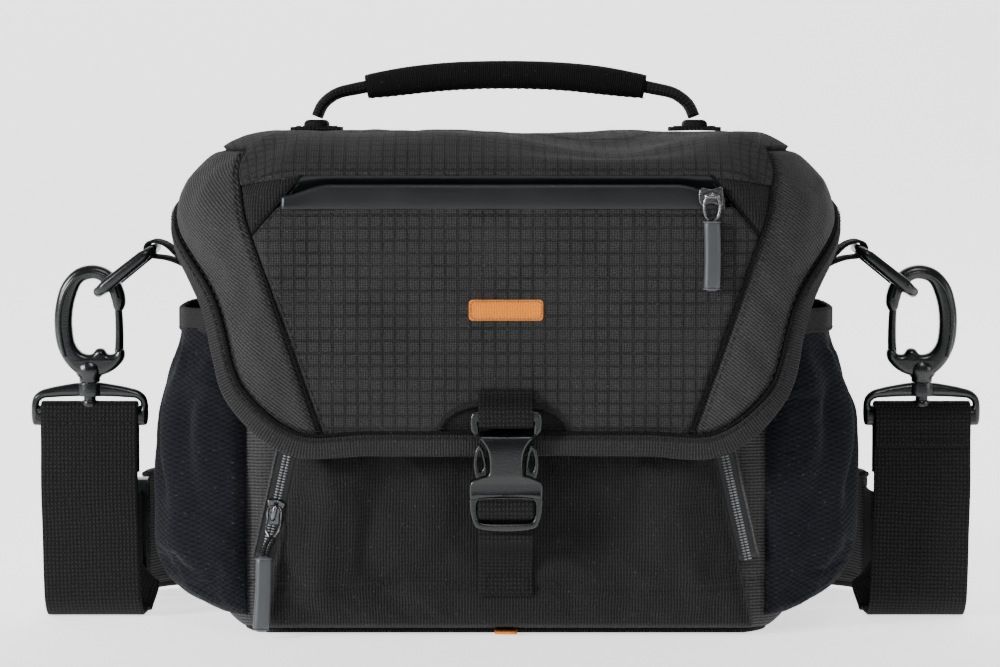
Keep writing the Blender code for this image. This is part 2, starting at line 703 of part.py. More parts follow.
def make_buckle(on):
    """A side-release buckle: the socket hangs on the lid and the prongs are sewn to the bag."""
    half = [(0.0157, SOCKET_Z), (0.0157, 0.0715), (0.0140, 0.0755), (0.0140, 0.0860),
            (0.0152, 0.0895), (0.0152, 0.1000), (0.0138, SOCKET_TOP)]
    slot = rectangle(0.0128, 0.0922, 0.0967)
    centre = (0, BUCKLE_Y, 0)
    female = outline_plate("buckle_female", mirrored(half), BUCKLE_THICK, "black_plastic", centre,
                           on, [slot])
    low, high = (-0.0129, BUCKLE_Y - 0.0023, 0.060), (0.0129, BUCKLE_Y + 0.0023, 0.0892)
    cavity = block("buckle_cavity", low, high, "black_plastic", collection=cutters)
    boolean(female, cavity, "DIFFERENCE")
    for side, sign in (("left", -1), ("right", 1)):
        ends = sorted((sign * 0.0120, sign * 0.0180))
        window = block(f"buckle_window_{side}", (ends[0], BUCKLE_Y - 0.0023, 0.0752),
                       (ends[1], BUCKLE_Y + 0.0023, 0.0868), "black_plastic", collection=cutters)
        boolean(female, window, "DIFFERENCE")

    base = [(0.0140, 0.0483), (0.0150, 0.0495), (0.0150, 0.0627)]
    bar_top, slot_top = 0.0535, 0.0578
    male = outline_plate("buckle_male", mirrored(base), BUCKLE_THICK, "black_plastic", centre, None,
                         [rectangle(0.0127, bar_top, slot_top)])
    arms = [(0.0108, 0.0600), (0.0112, 0.0740), (0.0136, 0.0765), (0.0136, 0.0845), (0.0106, 0.0872),
            (0.0084, 0.0850), (0.0080, 0.0655), (0.0023, 0.0655), (0.0017, 0.0815)]
    prongs = outline_plate("buckle_prongs", mirrored(arms), 0.0038, "black_plastic", centre,
                           collection=cutters)
    boolean(male, prongs, "UNION")

    rear = BUCKLE_Y + BUCKLE_THICK / 2 + WEB_CENTRE
    front = BUCKLE_Y - BUCKLE_THICK / 2 - WEB_CENTRE
    loop = [(rear, 0.1110), (rear, 0.0944), (front, 0.0944), (front, 0.1028), (rear - 0.0024, 0.1062),
            (rear - 0.0024, 0.1105)]
    web("buckle_loop", [(0, y, z) for y, z in loop], BUCKLE_WEB / 2, True, "webbing", on)
    face = POCKET_FRONT - WEB_CENTRE
    tab = [(face, 0.0210), (face, 0.0340), (-0.0805, 0.0440), (rear, 0.0500), (rear, 0.0556),
           (front, 0.0556), (front, 0.0475), (-0.0925, 0.0420), (-0.0840, 0.0390), (face - 0.0026, 0.0310),
           (face - 0.0026, 0.0210)]
    web("buckle_tab", [(0, y, z) for y, z in tab], BUCKLE_WEB / 2, True, "webbing")


# ---------------------------------------------------------------- strap and its fittings
def oval(half, low, high, power, count=28):
    """A superellipse between two heights, as XZ points about the middle."""
    points = []
    for a in turns(count):
        c, s = math.cos(a), math.sin(a)
        x = math.copysign(abs(c) ** (2 / power), c) * half
        z = math.copysign(abs(s) ** (2 / power), s) * (high - low) / 2
        points.append((x, (low + high) / 2 + z))
    return points


def make_ring(side, sign):
    """A rounded wire rectangle held by a tab from inside the stretch pocket."""
    inner = Vector((sign * RING_INNER.x, RING_INNER.y, RING_INNER.z))
    outer = Vector((sign * RING_OUTER.x, RING_OUTER.y, RING_OUTER.z))
    length = (outer - inner).length
    step = (outer - inner) / length
    corner = 0.004
    line = []
    for y, u, towards in ((1, 1, 0), (-1, 1, 1), (-1, 0, 0), (1, 0, 1)):
        turn = []
        for a in spread(0.0, math.pi / 2, 4):
            du = corner * (1 - math.cos(a)) * (-1 if u else 1)
            dy = y * (RING_HALF - corner * (1 - math.sin(a)))
            turn.append(inner + step * (u * length + du) + Vector((0, dy, 0)))
        line += turn if (y > 0) != bool(u) else reversed(turn)
    swing = pivot(f"ring_pivot_{side}", inner)
    tube(f"ring_{side}", line, RING_WIRE, "black_plastic", swing, cyclic=True)

    reach = RING_WIRE + WEB_CENTRE
    tab = [(0.1327, 0.112), (0.1327, 0.137), (0.1348, 0.150), (0.1430, 0.1595), (0.1530, 0.1639)]
    round_bar = [(RING_INNER.x + reach * math.sin(a), RING_INNER.z - reach * math.cos(a))
                 for a in spread(0.1, math.pi - 0.1, 7)]
    back = [(0.1540, 0.1704), (0.1480, 0.1662), (0.1420, 0.1620)]
    points = [(sign * x, STRAP_Y, z) for x, z in (*tab, *round_bar, *back)]
    web(f"ring_tab_{side}", points, TAB_HALF, False, "webbing")


def make_hook(side, sign):
    """A snap hook that swivels in the strap's frame, and its gate."""
    x = sign * STRAP_X
    bar_z = (FRAME_Z[0] + FRAME_Z[1]) / 2
    tilt = pivot(f"frame_pivot_{side}", (x, STRAP_Y, bar_z))
    frame_outline = [(FRAME_HALF - 0.003, FRAME_Z[0]), (FRAME_HALF, FRAME_Z[0] + 0.003),
                     (FRAME_HALF, FRAME_Z[3] - 0.006), (FRAME_HALF - 0.006, FRAME_Z[3])]
    slot = rectangle(STRAP_HALF + 0.0009, FRAME_Z[1], FRAME_Z[2])
    frame = outline_plate(f"strap_frame_{side}", mirrored(frame_outline), FRAME_THICK, "black_plastic",
                          (x, STRAP_Y, 0), tilt, [slot])
    beam = (FRAME_Z[2] + FRAME_Z[3]) / 2
    tall = FRAME_Z[3] - FRAME_Z[2]
    boss = cylinder(f"frame_boss_{side}", (x, STRAP_Y, beam), 0.0055, 0.0050, tall, "black_plastic",
                    collection=cutters)
    hole = cylinder(f"frame_hole_{side}", (x, STRAP_Y, beam), 0.0033, 0.0033, 2 * tall, "black_plastic",
                    collection=cutters)
    boolean(frame, boss, "UNION")
    boolean(frame, hole, "DIFFERENCE")

    swivel = pivot(f"hook_pivot_{side}", (x, STRAP_Y, FRAME_Z[3]), tilt)
    hook = outline_plate(f"hook_{side}", oval(HOOK_HALF, *HOOK_Z, 2.5), HOOK_THICK, "black_plastic",
                         (x, STRAP_Y, 0), swivel, [oval(EYE_HALF, *EYE_Z, 3.0)])
    gap = sorted((x - sign * 0.0190, x - sign * 0.0078))
    low, high = (gap[0], STRAP_Y - 0.006, 0.1200), (gap[1], STRAP_Y + 0.006, 0.1436)
    opening = block(f"hook_gap_{side}", low, high, "black_plastic", collection=cutters)
    boolean(hook, opening, "DIFFERENCE")
    for part, low, high, radius in (
        ("collar", FRAME_Z[3] + 0.0004, HOOK_Z[0] + 0.0015, 0.0045),
        ("post", 0.0970, HOOK_Z[0] + 0.0020, 0.0029),
        ("head", 0.0962, 0.0990, 0.0042),
    ):
        piece = cylinder(f"hook_{part}_{side}", (x, STRAP_Y, (low + high) / 2), radius, radius, high - low,
                         "black_plastic", collection=cutters)
        boolean(hook, piece, "UNION")

    at = x - sign * 0.0130
    gate_swing = pivot(f"gate_pivot_{side}", (at, STRAP_Y, 0.1232), swivel)
    block(f"gate_{side}", (at - 0.0020, STRAP_Y - 0.0028, 0.1213), (at + 0.0020, STRAP_Y + 0.0028, 0.1431),
          "black_plastic", bevel=0.0008, on=gate_swing)


def make_strap(side, sign):
    """Webbing over the frame's bar, down to the ground and round to the shoulder pad.

    Each station is x, y, z and how far the strip has turned from lying along X to standing up.
    """
    bar = FRAME_THICK / 2 + WEB_CENTRE
    over = FRAME_Z[1] + WEB_CENTRE
    x, y = STRAP_X, STRAP_Y
    line = [(x, y + bar, 0.0660, 0), (x, y + bar, 0.0780, 0), (x, y + bar, over, 0),
            (x, y - bar, over, 0), (x, y - bar, 0.0780, 0)]
    fall = [(x, y - bar, 0.0780, 0), (x, y - bar - 0.0008, 0.0600, 0), (0.1880, -0.0130, 0.0400, 0),
            (0.1875, -0.0140, 0.0200, 0), (0.1872, -0.0125, 0.0080, 0), (0.1870, -0.0060, 0.0018, 0),
            (0.1865, 0.0030, 0.0011, 0), (0.1860, 0.0140, 0.0012, 0)]
    for back in (0.022, 0.030, 0.038, 0.046, 0.054):
        turn = ramp(back, 0.010, 0.056)
        place = ramp(back, 0.010, 0.060)
        fall.append((0.1862 - 0.0142 * place, back, 0.0012 + 0.0280 * math.sin(turn * math.pi / 2), turn))
    fall += [(0.1720, 0.0620, 0.0292, 1), (0.1720, 0.0742, 0.0292, 1)]
    rows = []
    for px, py, pz, turn in (*line[:-1], *smooth_line(fall, 2)):
        wide = Vector((math.cos(turn * math.pi / 2), 0, math.sin(turn * math.pi / 2))) * STRAP_HALF
        rows.append([Vector((sign * (px - wide.x), py, pz - wide.z)), Vector((sign * px, py, pz)),
                     Vector((sign * (px + wide.x), py, pz + wide.z))])
    sheet(f"strap_web_{side}", rows, "webbing", WEBBING, 0.0)


def make_shoulder_pad():
    """A long pad standing on its edge behind the bag, curving forward at both ends."""
    half = [(0.1718, 0.0746), (0.1690, 0.0860), (0.1600, 0.0960), (0.1440, 0.1035), (0.1100, 0.1062),
            (0.0550, 0.1075), (0.0, 0.1080)]
    line = smooth_line([(x, y, 0) for x, y in half] + [(-x, y, 0) for x, y in reversed(half[:-1])], 2)
    rows = []
    for lift in (0.0006, 0.0585):
        rows.append([Vector((p.x, p.y, lift)) for p in line])
    sheet("shoulder_pad", rows, "binding", 0.0070, 0.0)


def make_adjuster():
    """A sliding loop round the left webbing, near the pad."""
    low, high = Vector((-0.1748, 0.0560, 0.0026)), Vector((-0.1692, 0.0700, 0.0560))
    loop = block("strap_adjuster", low, high, "black_plastic", bevel=0.001)
    inside = block("adjuster_hole", (-0.1734, 0.050, 0.0060), (-0.1706, 0.076, 0.0526), "black_plastic",
                   collection=cutters)
    boolean(loop, inside, "DIFFERENCE")


# ---------------------------------------------------------------- build
def build():
    clear_scene()
    make_tub()
    make_padding()
    make_front_pocket()
    make_side_pockets()
    make_back()
    make_hinge_strip()
    lid = pivot("lid_pivot", HINGE)
    make_lid(lid)
    make_handle(lid)
    make_lid_zip(lid)
    make_front_zip_slider()
    make_buckle(lid)
    for side, sign in (("left", -1), ("right", 1)):
        make_ring(side, sign)
        make_hook(side, sign)
        make_strap(side, sign)
    make_shoulder_pad()
    make_adjuster()


build()
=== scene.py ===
"""Looks of the camera shoulder bag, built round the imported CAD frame.

Metres, +Z up, the front faces -Y. Cloth pieces are grids on a few skins. Each carries a point
attribute called cloth, its own flat coordinates in metres, which the weaves follow.
"""

import json
import math

import bmesh
import bpy
import numpy as np
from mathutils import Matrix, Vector


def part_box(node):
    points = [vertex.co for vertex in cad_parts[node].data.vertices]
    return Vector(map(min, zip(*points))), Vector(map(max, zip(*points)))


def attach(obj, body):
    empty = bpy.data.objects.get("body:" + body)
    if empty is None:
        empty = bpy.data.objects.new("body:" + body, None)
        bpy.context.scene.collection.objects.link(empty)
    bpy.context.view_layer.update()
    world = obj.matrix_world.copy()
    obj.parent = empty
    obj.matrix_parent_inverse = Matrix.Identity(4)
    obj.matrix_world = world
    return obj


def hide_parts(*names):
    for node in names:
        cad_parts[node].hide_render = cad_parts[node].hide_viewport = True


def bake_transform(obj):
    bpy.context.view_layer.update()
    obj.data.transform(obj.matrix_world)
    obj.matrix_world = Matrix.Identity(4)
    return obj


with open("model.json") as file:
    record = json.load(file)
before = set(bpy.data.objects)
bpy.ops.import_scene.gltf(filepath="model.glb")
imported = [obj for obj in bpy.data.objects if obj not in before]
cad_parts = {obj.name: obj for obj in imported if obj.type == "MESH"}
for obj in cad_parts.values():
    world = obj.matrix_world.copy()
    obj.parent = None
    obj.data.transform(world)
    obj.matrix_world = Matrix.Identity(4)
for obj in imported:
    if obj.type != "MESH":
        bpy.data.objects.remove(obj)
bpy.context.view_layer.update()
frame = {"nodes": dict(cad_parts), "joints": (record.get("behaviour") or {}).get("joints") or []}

# ---------------------------------------------------------------- camera
CAMERA_PLACE = (-0.0026, -1.585, 0.230)
CAMERA_PITCH = 3.65  # degrees below the horizon
camera = bpy.data.objects.new("camera", bpy.data.cameras.new("camera"))
bpy.context.scene.collection.objects.link(camera)
camera.data.lens = 125.57
camera.data.sensor_width = 36.0
camera.location = CAMERA_PLACE
camera.rotation_euler = (math.radians(90 - CAMERA_PITCH), 0.0, 0.0)
bpy.context.scene.camera = camera

# ---------------------------------------------------------------- sizes read from the frame
LID_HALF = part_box("lid_top")[1].x
LID_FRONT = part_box("lid_pocket_panel")[0].y
LID_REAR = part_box("lid_top")[1].y
LID_CORNER = 0.040
CROWN_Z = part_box("lid_top")[1].z
HEM_Z = 0.082
BODY_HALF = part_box("rear_panel")[1].x
BODY_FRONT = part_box("front_panel")[0].y
BODY_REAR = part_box("left_gusset")[1].y
BODY_CORNER = 0.030
BODY_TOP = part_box("front_panel")[1].z
POCKET_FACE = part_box("front_pocket")[0].y
BUCKLE_Y = (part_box("buckle_female")[0].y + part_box("buckle_female")[1].y) / 2
BUCKLE_HALF_THICK = 0.0035
STRAP_X = (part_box("hook_right")[0].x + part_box("hook_right")[1].x) / 2
STRAP_Y = (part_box("strap_frame_right")[0].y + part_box("strap_frame_right")[1].y) / 2
BODY_SIDE_END = BODY_HALF - BODY_CORNER + BODY_CORNER * math.pi / 2 + BODY_REAR - BODY_FRONT - BODY_CORNER
LID_SIDE_END = LID_HALF - LID_CORNER + LID_CORNER * math.pi / 2 + LID_REAR - LID_FRONT - LID_CORNER
WEBBING = 0.0016
TAU = 2 * math.pi


# ---------------------------------------------------------------- number helpers
def ease(x, start, end):
    t = np.clip((np.asarray(x, float) - start) / (end - start), 0.0, 1.0)
    return t * t * (3 - 2 * t)


def read(table, x):
    """Reads a smooth curve through (place, value) pairs."""
    xs, ys = np.array(table, float).T
    slope = np.gradient(ys, xs)
    x = np.clip(x, xs[0], xs[-1])
    i = np.clip(np.searchsorted(xs, x) - 1, 0, len(xs) - 2)
    h = xs[i + 1] - xs[i]
    t = (x - xs[i]) / h
    return ((2 * t ** 3 - 3 * t ** 2 + 1) * ys[i] + (t ** 3 - 2 * t ** 2 + t) * h * slope[i]
            + (3 * t ** 2 - 2 * t ** 3) * ys[i + 1] + (t ** 3 - t ** 2) * h * slope[i + 1])


def lumps(points, size, seed):
    """Smooth unevenness between about -1 and 1, with features of the given size."""
    waves = 10
    rng = np.random.default_rng(seed)
    total = np.zeros(points.shape[:-1])
    for _ in range(waves):
        way = rng.normal(size=3)
        way *= TAU / (size * rng.uniform(0.7, 1.9) * np.linalg.norm(way))
        total += np.sin(points @ way + rng.uniform(0, TAU))
    return total / math.sqrt(2 * waves)


def smooth_path(points, each=6, closed=False):
    """A smooth curve through the points that does not overshoot where they are unevenly spaced."""
    p = np.array(points, float)
    p = p[np.concatenate([[True], np.linalg.norm(np.diff(p, axis=0), axis=1) > 1e-9])]
    if closed and np.linalg.norm(p[0] - p[-1]) < 1e-9:
        p = p[:-1]
    if closed:
        p = np.vstack([p[-2:], p, p[:3]])
    gap = np.linalg.norm(np.diff(p, axis=0), axis=1)[:, None]
    step = np.diff(p, axis=0) / gap
    slope = np.vstack([step[:1], (step[:-1] * gap[1:] + step[1:] * gap[:-1]) / (gap[1:] + gap[:-1]),
                       step[-1:]])
    before = np.minimum(gap, 2 * np.vstack([gap[:1], gap[:-1]]))
    after = np.minimum(gap, 2 * np.vstack([gap[1:], gap[-1:]]))
    t = (np.arange(each) / each)[:, None]
    line = []
    for i in range(2, len(p) - 3) if closed else range(len(p) - 1):
        line.append((2 * t ** 3 - 3 * t ** 2 + 1) * p[i] + (t ** 3 - 2 * t ** 2 + t) * before[i] * slope[i]
                    + (3 * t ** 2 - 2 * t ** 3) * p[i + 1] + (t ** 3 - t ** 2) * after[i] * slope[i + 1])
    line = np.concatenate(line)
    return line if closed else np.vstack([line, p[-1]])


def lengths(path):
    """Distance along a path at each of its points."""
    return np.concatenate([[0.0], np.cumsum(np.linalg.norm(np.diff(path, axis=0), axis=1))])


def resample(path, step):
    """Points an even step apart along a path."""
    at = lengths(path)
    places = np.linspace(0.0, at[-1], max(2, int(round(at[-1] / step)) + 1))
    return np.stack([np.interp(places, at, path[:, k]) for k in range(path.shape[1])], axis=1)


def unit(v):
    return v / np.maximum(np.linalg.norm(v, axis=-1, keepdims=True), 1e-12)


# ---------------------------------------------------------------- mesh helpers
def linked(name, data):
    """A new object for some mesh or curve data, in the scene."""
    obj = bpy.data.objects.new(name, data)
    bpy.context.scene.collection.objects.link(obj)
    return obj


def lay_flat(mesh, cloth):
    """Writes the cloth attribute: s and t on the flat cloth in metres, and a mask."""
    layer = mesh.attributes.new("cloth", "FLOAT_VECTOR", "POINT")
    layer.data.foreach_set("vector", np.asarray(cloth, np.float32).ravel())


def points_of(obj):
    return np.array([v.co for v in obj.data.vertices])


def set_points(mesh, points):
    mesh.vertices.foreach_set("co", points.astype(np.float32).ravel())


def merge_points(obj, distance, outwards=True):
    """Merges points that meet; outwards then makes the faces of a closed form point out."""
    bm = bmesh.new()
    bm.from_mesh(obj.data)
    bmesh.ops.remove_doubles(bm, verts=bm.verts, dist=distance)
    if outwards:
        bmesh.ops.recalc_face_normals(bm, faces=bm.faces)
    bm.to_mesh(obj.data)
    bm.free()
    return obj


def middle_of(node):
    """The middle of a CAD node's box."""
    low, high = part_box(node)
    return (low.x + high.x) / 2, (low.y + high.y) / 2, (low.z + high.z) / 2


def size_of(node):
    low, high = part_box(node)
    return high - low


def joint(name):
    return next(j for j in frame["joints"] if j["name"] == name)


def mesh_object(name, verts, faces, cloth=None):
    """A smooth-shaded mesh; cloth gives each point its place on the flat cloth, for the weaves."""
    mesh = bpy.data.meshes.new(name)
    mesh.from_pydata([tuple(v) for v in verts], [], [tuple(f) for f in faces])
    if cloth is not None:
        lay_flat(mesh, cloth)
    mesh.shade_smooth()
    return linked(name, mesh)


def loft_faces(rows, columns, around=False, along=False):
    """Quads over a grid of points; around joins its last column to its first, along its rows."""
    faces = []
    for i in range(rows if along else rows - 1):
        for j in range(columns if around else columns - 1):
            i2, j2 = (i + 1) % rows, (j + 1) % columns
            faces.append((i * columns + j, i2 * columns + j, i2 * columns + j2, i * columns + j2))
    return faces


def face_out(obj, inside=(0.0, 0.0, 0.1)):
    """Turns an open sheet's faces away from a point inside the bag."""
    mesh = obj.data
    centre = Vector(inside)
    facing = sum((p.center - centre).dot(p.normal) * p.area for p in mesh.polygons)
    if facing < 0:
        mesh.flip_normals()
    return obj


def thicken(obj, thickness):
    """Gives a sheet its thickness, on the inner side."""
    shell = obj.modifiers.new("cloth_thickness", "SOLIDIFY")
    shell.thickness = thickness
    shell.offset = -1.0
    return obj


def cloth_grid(name, points, flat, thickness, mask=None, inside=(0.0, 0.0, 0.1)):
    """A sheet of cloth from rows of points, with its flat coordinates, thickened inwards."""
    rows, columns = points.shape[:2]
    mask = np.zeros((rows, columns)) if mask is None else mask
    cloth = np.dstack([flat, mask]).reshape(-1, 3)
    obj = mesh_object(name, points.reshape(-1, 3), loft_faces(rows, columns), cloth)
    return thicken(face_out(obj, inside), thickness)


def capped(rows, columns):
    """Faces of a closed tube with flat ends."""
    ends = [tuple(range(columns)), tuple(reversed(range((rows - 1) * columns, rows * columns)))]
    return loft_faces(rows, columns, around=True) + ends


def closed_up(obj):
    return merge_points(obj, 1e-6)


def circle(radius, sides=12):
    a = np.arange(sides) * TAU / sides
    return np.stack([radius * np.cos(a), radius * np.sin(a)], axis=1)


def rounded(width, thickness, across=8, bend=4):
    """A flat bar's cross-section with half-round edges."""
    r = thickness / 2
    top = [(x, r) for x in np.linspace(-width / 2 + r, width / 2 - r, across)]
    turn = [(width / 2 - r + r * math.sin(a), r * math.cos(a))
            for a in np.linspace(0, math.pi, bend + 2)[1:-1]]
    half = top + turn
    return np.array(half + [(-x, -z) for x, z in half])


def sweep(name, path, outward, section, closed=False, scale=None):
    """A closed solid that carries a cross-section along a path. Section x lies across, y outwards."""
    path = np.asarray(path, float)
    outward = np.broadcast_to(np.asarray(outward, float), path.shape)
    if closed:
        along = unit(np.roll(path, -1, axis=0) - np.roll(path, 1, axis=0))
    else:
        along = unit(np.gradient(path, axis=0))
    across = unit(np.cross(along, outward))
    up = unit(np.cross(across, along))
    scale = np.ones(len(path)) if scale is None else np.asarray(scale, float)
    sized = section[None] * (scale[:, None, None] if scale.ndim == 1 else scale[:, None, :])
    verts = path[:, None] + across[:, None] * sized[..., :1] + up[:, None] * sized[..., 1:]
    k = len(section)
    round_section = lengths(np.vstack([section, section[:1]]))[:-1]
    cloth = np.zeros((len(path), k, 3))
    cloth[..., 0] = lengths(path)[:, None]
    cloth[..., 1] = round_section if k > 16 else section[:, 0] + section[:, 1]
    faces = loft_faces(len(path), k, True, True) if closed else capped(len(path), k)
    return closed_up(mesh_object(name, verts.reshape(-1, 3), faces, cloth.reshape(-1, 3)))


def bent_frames(path, first):
    """Outward directions along a wire that turn as little as they can."""
    along = unit(np.gradient(path, axis=0))
    out = [np.asarray(first, float)]
    for t in along:
        v = out[-1] - t * (out[-1] @ t)
        out.append(v / np.linalg.norm(v))
    return np.array(out[1:])


def wire(name, points, radius, first=(0, -1, 0), closed=False, each=6, sides=12, flat=1.0):
    """A round wire on a smooth line through the points; flat under 1 presses it."""
    path = smooth_path(points, each, closed)
    outward = np.broadcast_to(np.array(first, float), path.shape) if closed else bent_frames(path, first)
    return sweep(name, path, outward, circle(radius, sides) * (1.0, flat), closed)


def smooth_parts(obj):
    """Smooth shading that keeps flat faces flat and hard corners hard."""
    obj.data.shade_smooth()
    obj.data.set_sharp_from_angle(angle=math.radians(50))
    obj.modifiers.new("flat_faces", "WEIGHTED_NORMAL").keep_sharp = True
    return obj


def plate(name, outline, holes, thickness, bevel, centre, on="xz"):
    """A moulded plate with round edges from a smooth outline and its holes, upright at centre."""
    curve = bpy.data.curves.new(name, "CURVE")
    curve.dimensions = "2D"
    curve.fill_mode = "BOTH"
    curve.extrude = thickness / 2 - bevel
    curve.bevel_depth = bevel
    curve.bevel_resolution = 3
    curve.offset = -bevel
    for ring in (outline, *holes):
        spline = curve.splines.new("POLY")
        spline.points.add(len(ring) - 1)
        for target, (x, z) in zip(spline.points, ring):
            target.co = (x, z, 0.0, 1.0)
        spline.use_cyclic_u = True
    source = linked(name, curve)
    bpy.context.view_layer.update()
    mesh = bpy.data.meshes.new_from_object(source.evaluated_get(bpy.context.evaluated_depsgraph_get()))
    bpy.data.objects.remove(source)
    co = np.array([v.co for v in mesh.vertices])
    placed = co[:, [2, 0, 1]] if on == "yz" else co[:, [0, 2, 1]] * (1, -1, 1)
    set_points(mesh, placed + centre)
    return smooth_parts(closed_up(linked(name, mesh)))


def mirrored(points):
    """Closes a right half outline with its mirror image."""
    return [*points, *[(-x, z) for x, z in reversed(points)]]


def soft_outline(points, each=5):
    """A smooth closed outline through the points."""
    return smooth_path(points, each, closed=True)


def rounded_corners(half_x, half_z, corner, count):
    """A rectangle with round corners, as (x, z) points round its middle."""
    outline = []
    for cx, cz, start in ((1, 1, 0), (-1, 1, 1), (-1, -1, 2), (1, -1, 3)):
        for a in np.linspace(start * math.pi / 2, (start + 1) * math.pi / 2, count):
            outline.append((cx * (half_x - corner) + corner * math.cos(a),
                            cz * (half_z - corner) + corner * math.sin(a)))
    return outline


def joined(name, pieces):
    """One object from several meshes, which are removed."""
    bm = bmesh.new()
    for piece in pieces:
        bm.from_mesh(piece.data)
        bpy.data.objects.remove(piece)
    mesh = bpy.data.meshes.new(name)
    bm.to_mesh(mesh)
    bm.free()
    return linked(name, mesh)


def capsules(name, starts, ends, outward, radius, lift):
    """Many small thread stitches or zip teeth, each a bent capsule from start to end, as one mesh."""
    sides = 5
    along = unit(ends - starts)
    across = unit(np.cross(along, outward))
    up = np.cross(across, along)
    ring = circle(1.0, sides)
    rows = []
    for share, size, height in ((0.0, 0.55, -0.6), (0.22, 1.0, 0.8), (0.78, 1.0, 0.8), (1.0, 0.55, -0.6)):
        centre = starts + (ends - starts) * share + up * (lift * height)
        rows.append(centre[:, None] + radius * size * (across[:, None] * ring[:, :1] + up[:, None] * ring[:, 1:]))
    verts = np.stack(rows, axis=1).reshape(-1, 3)
    faces = [tuple(4 * sides * i + k for k in f) for i in range(len(starts)) for f in capped(4, sides)]
    return closed_up(mesh_object(name, verts, faces))


def stitches(name, path, outward, length=0.0026, gap=0.0010, radius=0.00022):
    """A row of thread stitches along a path."""
    at = lengths(path)
    first = np.arange(0.0, at[-1] - length, length + gap)

    def place(values, data):
        return np.stack([np.interp(values, at, data[:, k]) for k in range(3)], axis=1)

    outward = np.broadcast_to(np.asarray(outward, float), path.shape)
    return capsules(name, place(first, path), place(first + length, path),
                    place(first + length / 2, outward), radius, radius)


# ---------------------------------------------------------------- materials
class Graph:
    """Short calls for the nodes that feed one Principled shader."""

    def __init__(self, name, **fixed):
        self.made = bpy.data.materials.new(name)
        self.made.use_nodes = True
        self.tree = self.made.node_tree
        self.shader = self.tree.nodes["Principled BSDF"]
        for key, value in fixed.items():
            self.shader.inputs[key.replace("_", " ")].default_value = value

    def feed(self, socket, value):
        if isinstance(value, bpy.types.NodeSocket):
            self.tree.links.new(value, socket)
        else:
            socket.default_value = value

    def math(self, operation, a, b=0.0, c=0.0):
        node = self.tree.nodes.new("ShaderNodeMath")
        node.operation = operation
        for socket, value in zip(node.inputs, (a, b, c)):
            self.feed(socket, value)
        return node.outputs[0]

    def mix(self, factor, a, b):
        node = self.tree.nodes.new("ShaderNodeMix")
        node.data_type = "RGBA"
        for socket, value in ((node.inputs[0], factor), (node.inputs[6], a), (node.inputs[7], b)):
            self.feed(socket, value)
        return node.outputs[2]

    def noise(self, vector, scale, detail=3.0):
        node = self.tree.nodes.new("ShaderNodeTexNoise")
        node.inputs["Scale"].default_value = scale
        node.inputs["Detail"].default_value = detail
        self.feed(node.inputs["Vector"], vector)
        return node.outputs[0]

    def flat(self):
        """The cloth attribute's vector, and its s, t and mask."""
        node = self.tree.nodes.new("ShaderNodeAttribute")
        node.attribute_name = "cloth"
        parts = self.tree.nodes.new("ShaderNodeSeparateXYZ")
        self.feed(parts.inputs[0], node.outputs["Vector"])
        return node.outputs["Vector"], *parts.outputs

    def object_place(self):
        return self.tree.nodes.new("ShaderNodeTexCoord").outputs["Object"]

    def wave(self, x, pitch):
        """A wave between 0 and 1 along x."""
        return self.math("MULTIPLY_ADD", self.math("SINE", self.math("MULTIPLY", x, TAU / pitch)), 0.5, 0.5)

    def line(self, x, pitch, width):
        """1 on thin lines a pitch apart, 0 between, with soft edges."""
        wave = self.wave(x, pitch)
        edge = 0.5 + 0.5 * math.cos(math.pi * width / pitch)
        above = self.math("MAXIMUM", self.math("SUBTRACT", wave, edge), 0.0)
        return self.math("SMOOTH_MIN", self.math("MULTIPLY", above, 1.6 / (1.0 - edge)), 1.0, 0.1)

    def turned(self, s, t, degrees):
        """Flat coordinates turned by an angle, for cloth cut on the bias."""
        c, n = math.cos(math.radians(degrees)), math.sin(math.radians(degrees))
        return (self.math("MULTIPLY_ADD", s, c, self.math("MULTIPLY", t, n)),
                self.math("MULTIPLY_ADD", t, c, self.math("MULTIPLY", s, -n)))

    def finish(self, colour, roughness, height, distance):
        self.feed(self.shader.inputs["Base Color"], colour)
        self.feed(self.shader.inputs["Roughness"], roughness)
        bump = self.tree.nodes.new("ShaderNodeBump")
        bump.inputs["Distance"].default_value = distance
        self.feed(bump.inputs["Height"], height)
        self.feed(self.shader.inputs["Normal"], bump.outputs[0])
        return self.made


def rgb(level, cool=0.0):
    """A grey, linear, with a share more blue."""
    return level, level, level * (1 + cool), 1.0


def scaled(colour, factor):
    return *(min(1.0, factor * v) for v in colour[:3]), 1.0


def plain_weave(g, s, t, pitch):
    """Threads going over and under each other."""
    a, b = g.wave(s, pitch), g.wave(t, pitch)
    both = g.math("MULTIPLY", a, b)
    neither = g.math("MULTIPLY", g.math("SUBTRACT", 1.0, a), g.math("SUBTRACT", 1.0, b))
    return g.math("ADD", both, neither)


def ribs(g, s, t, pitch, step):
    """Raised ribs along t, broken into stitches."""
    rib = g.wave(s, pitch)
    broken = g.math("MULTIPLY_ADD", g.wave(t, step), 0.45, 0.55)
    return g.math("MULTIPLY", rib, broken)


def dashes(g, s, t, pitch, step):
    """A knitted mesh: short dashes in rows, each row shifted by half a step."""
    row = g.math("SINE", g.math("MULTIPLY", t, math.pi / pitch))
    column = g.math("SINE", g.math("MULTIPLY", s, TAU / step))
    return g.math("MULTIPLY_ADD", g.math("MULTIPLY", row, column), 0.5, 0.5)


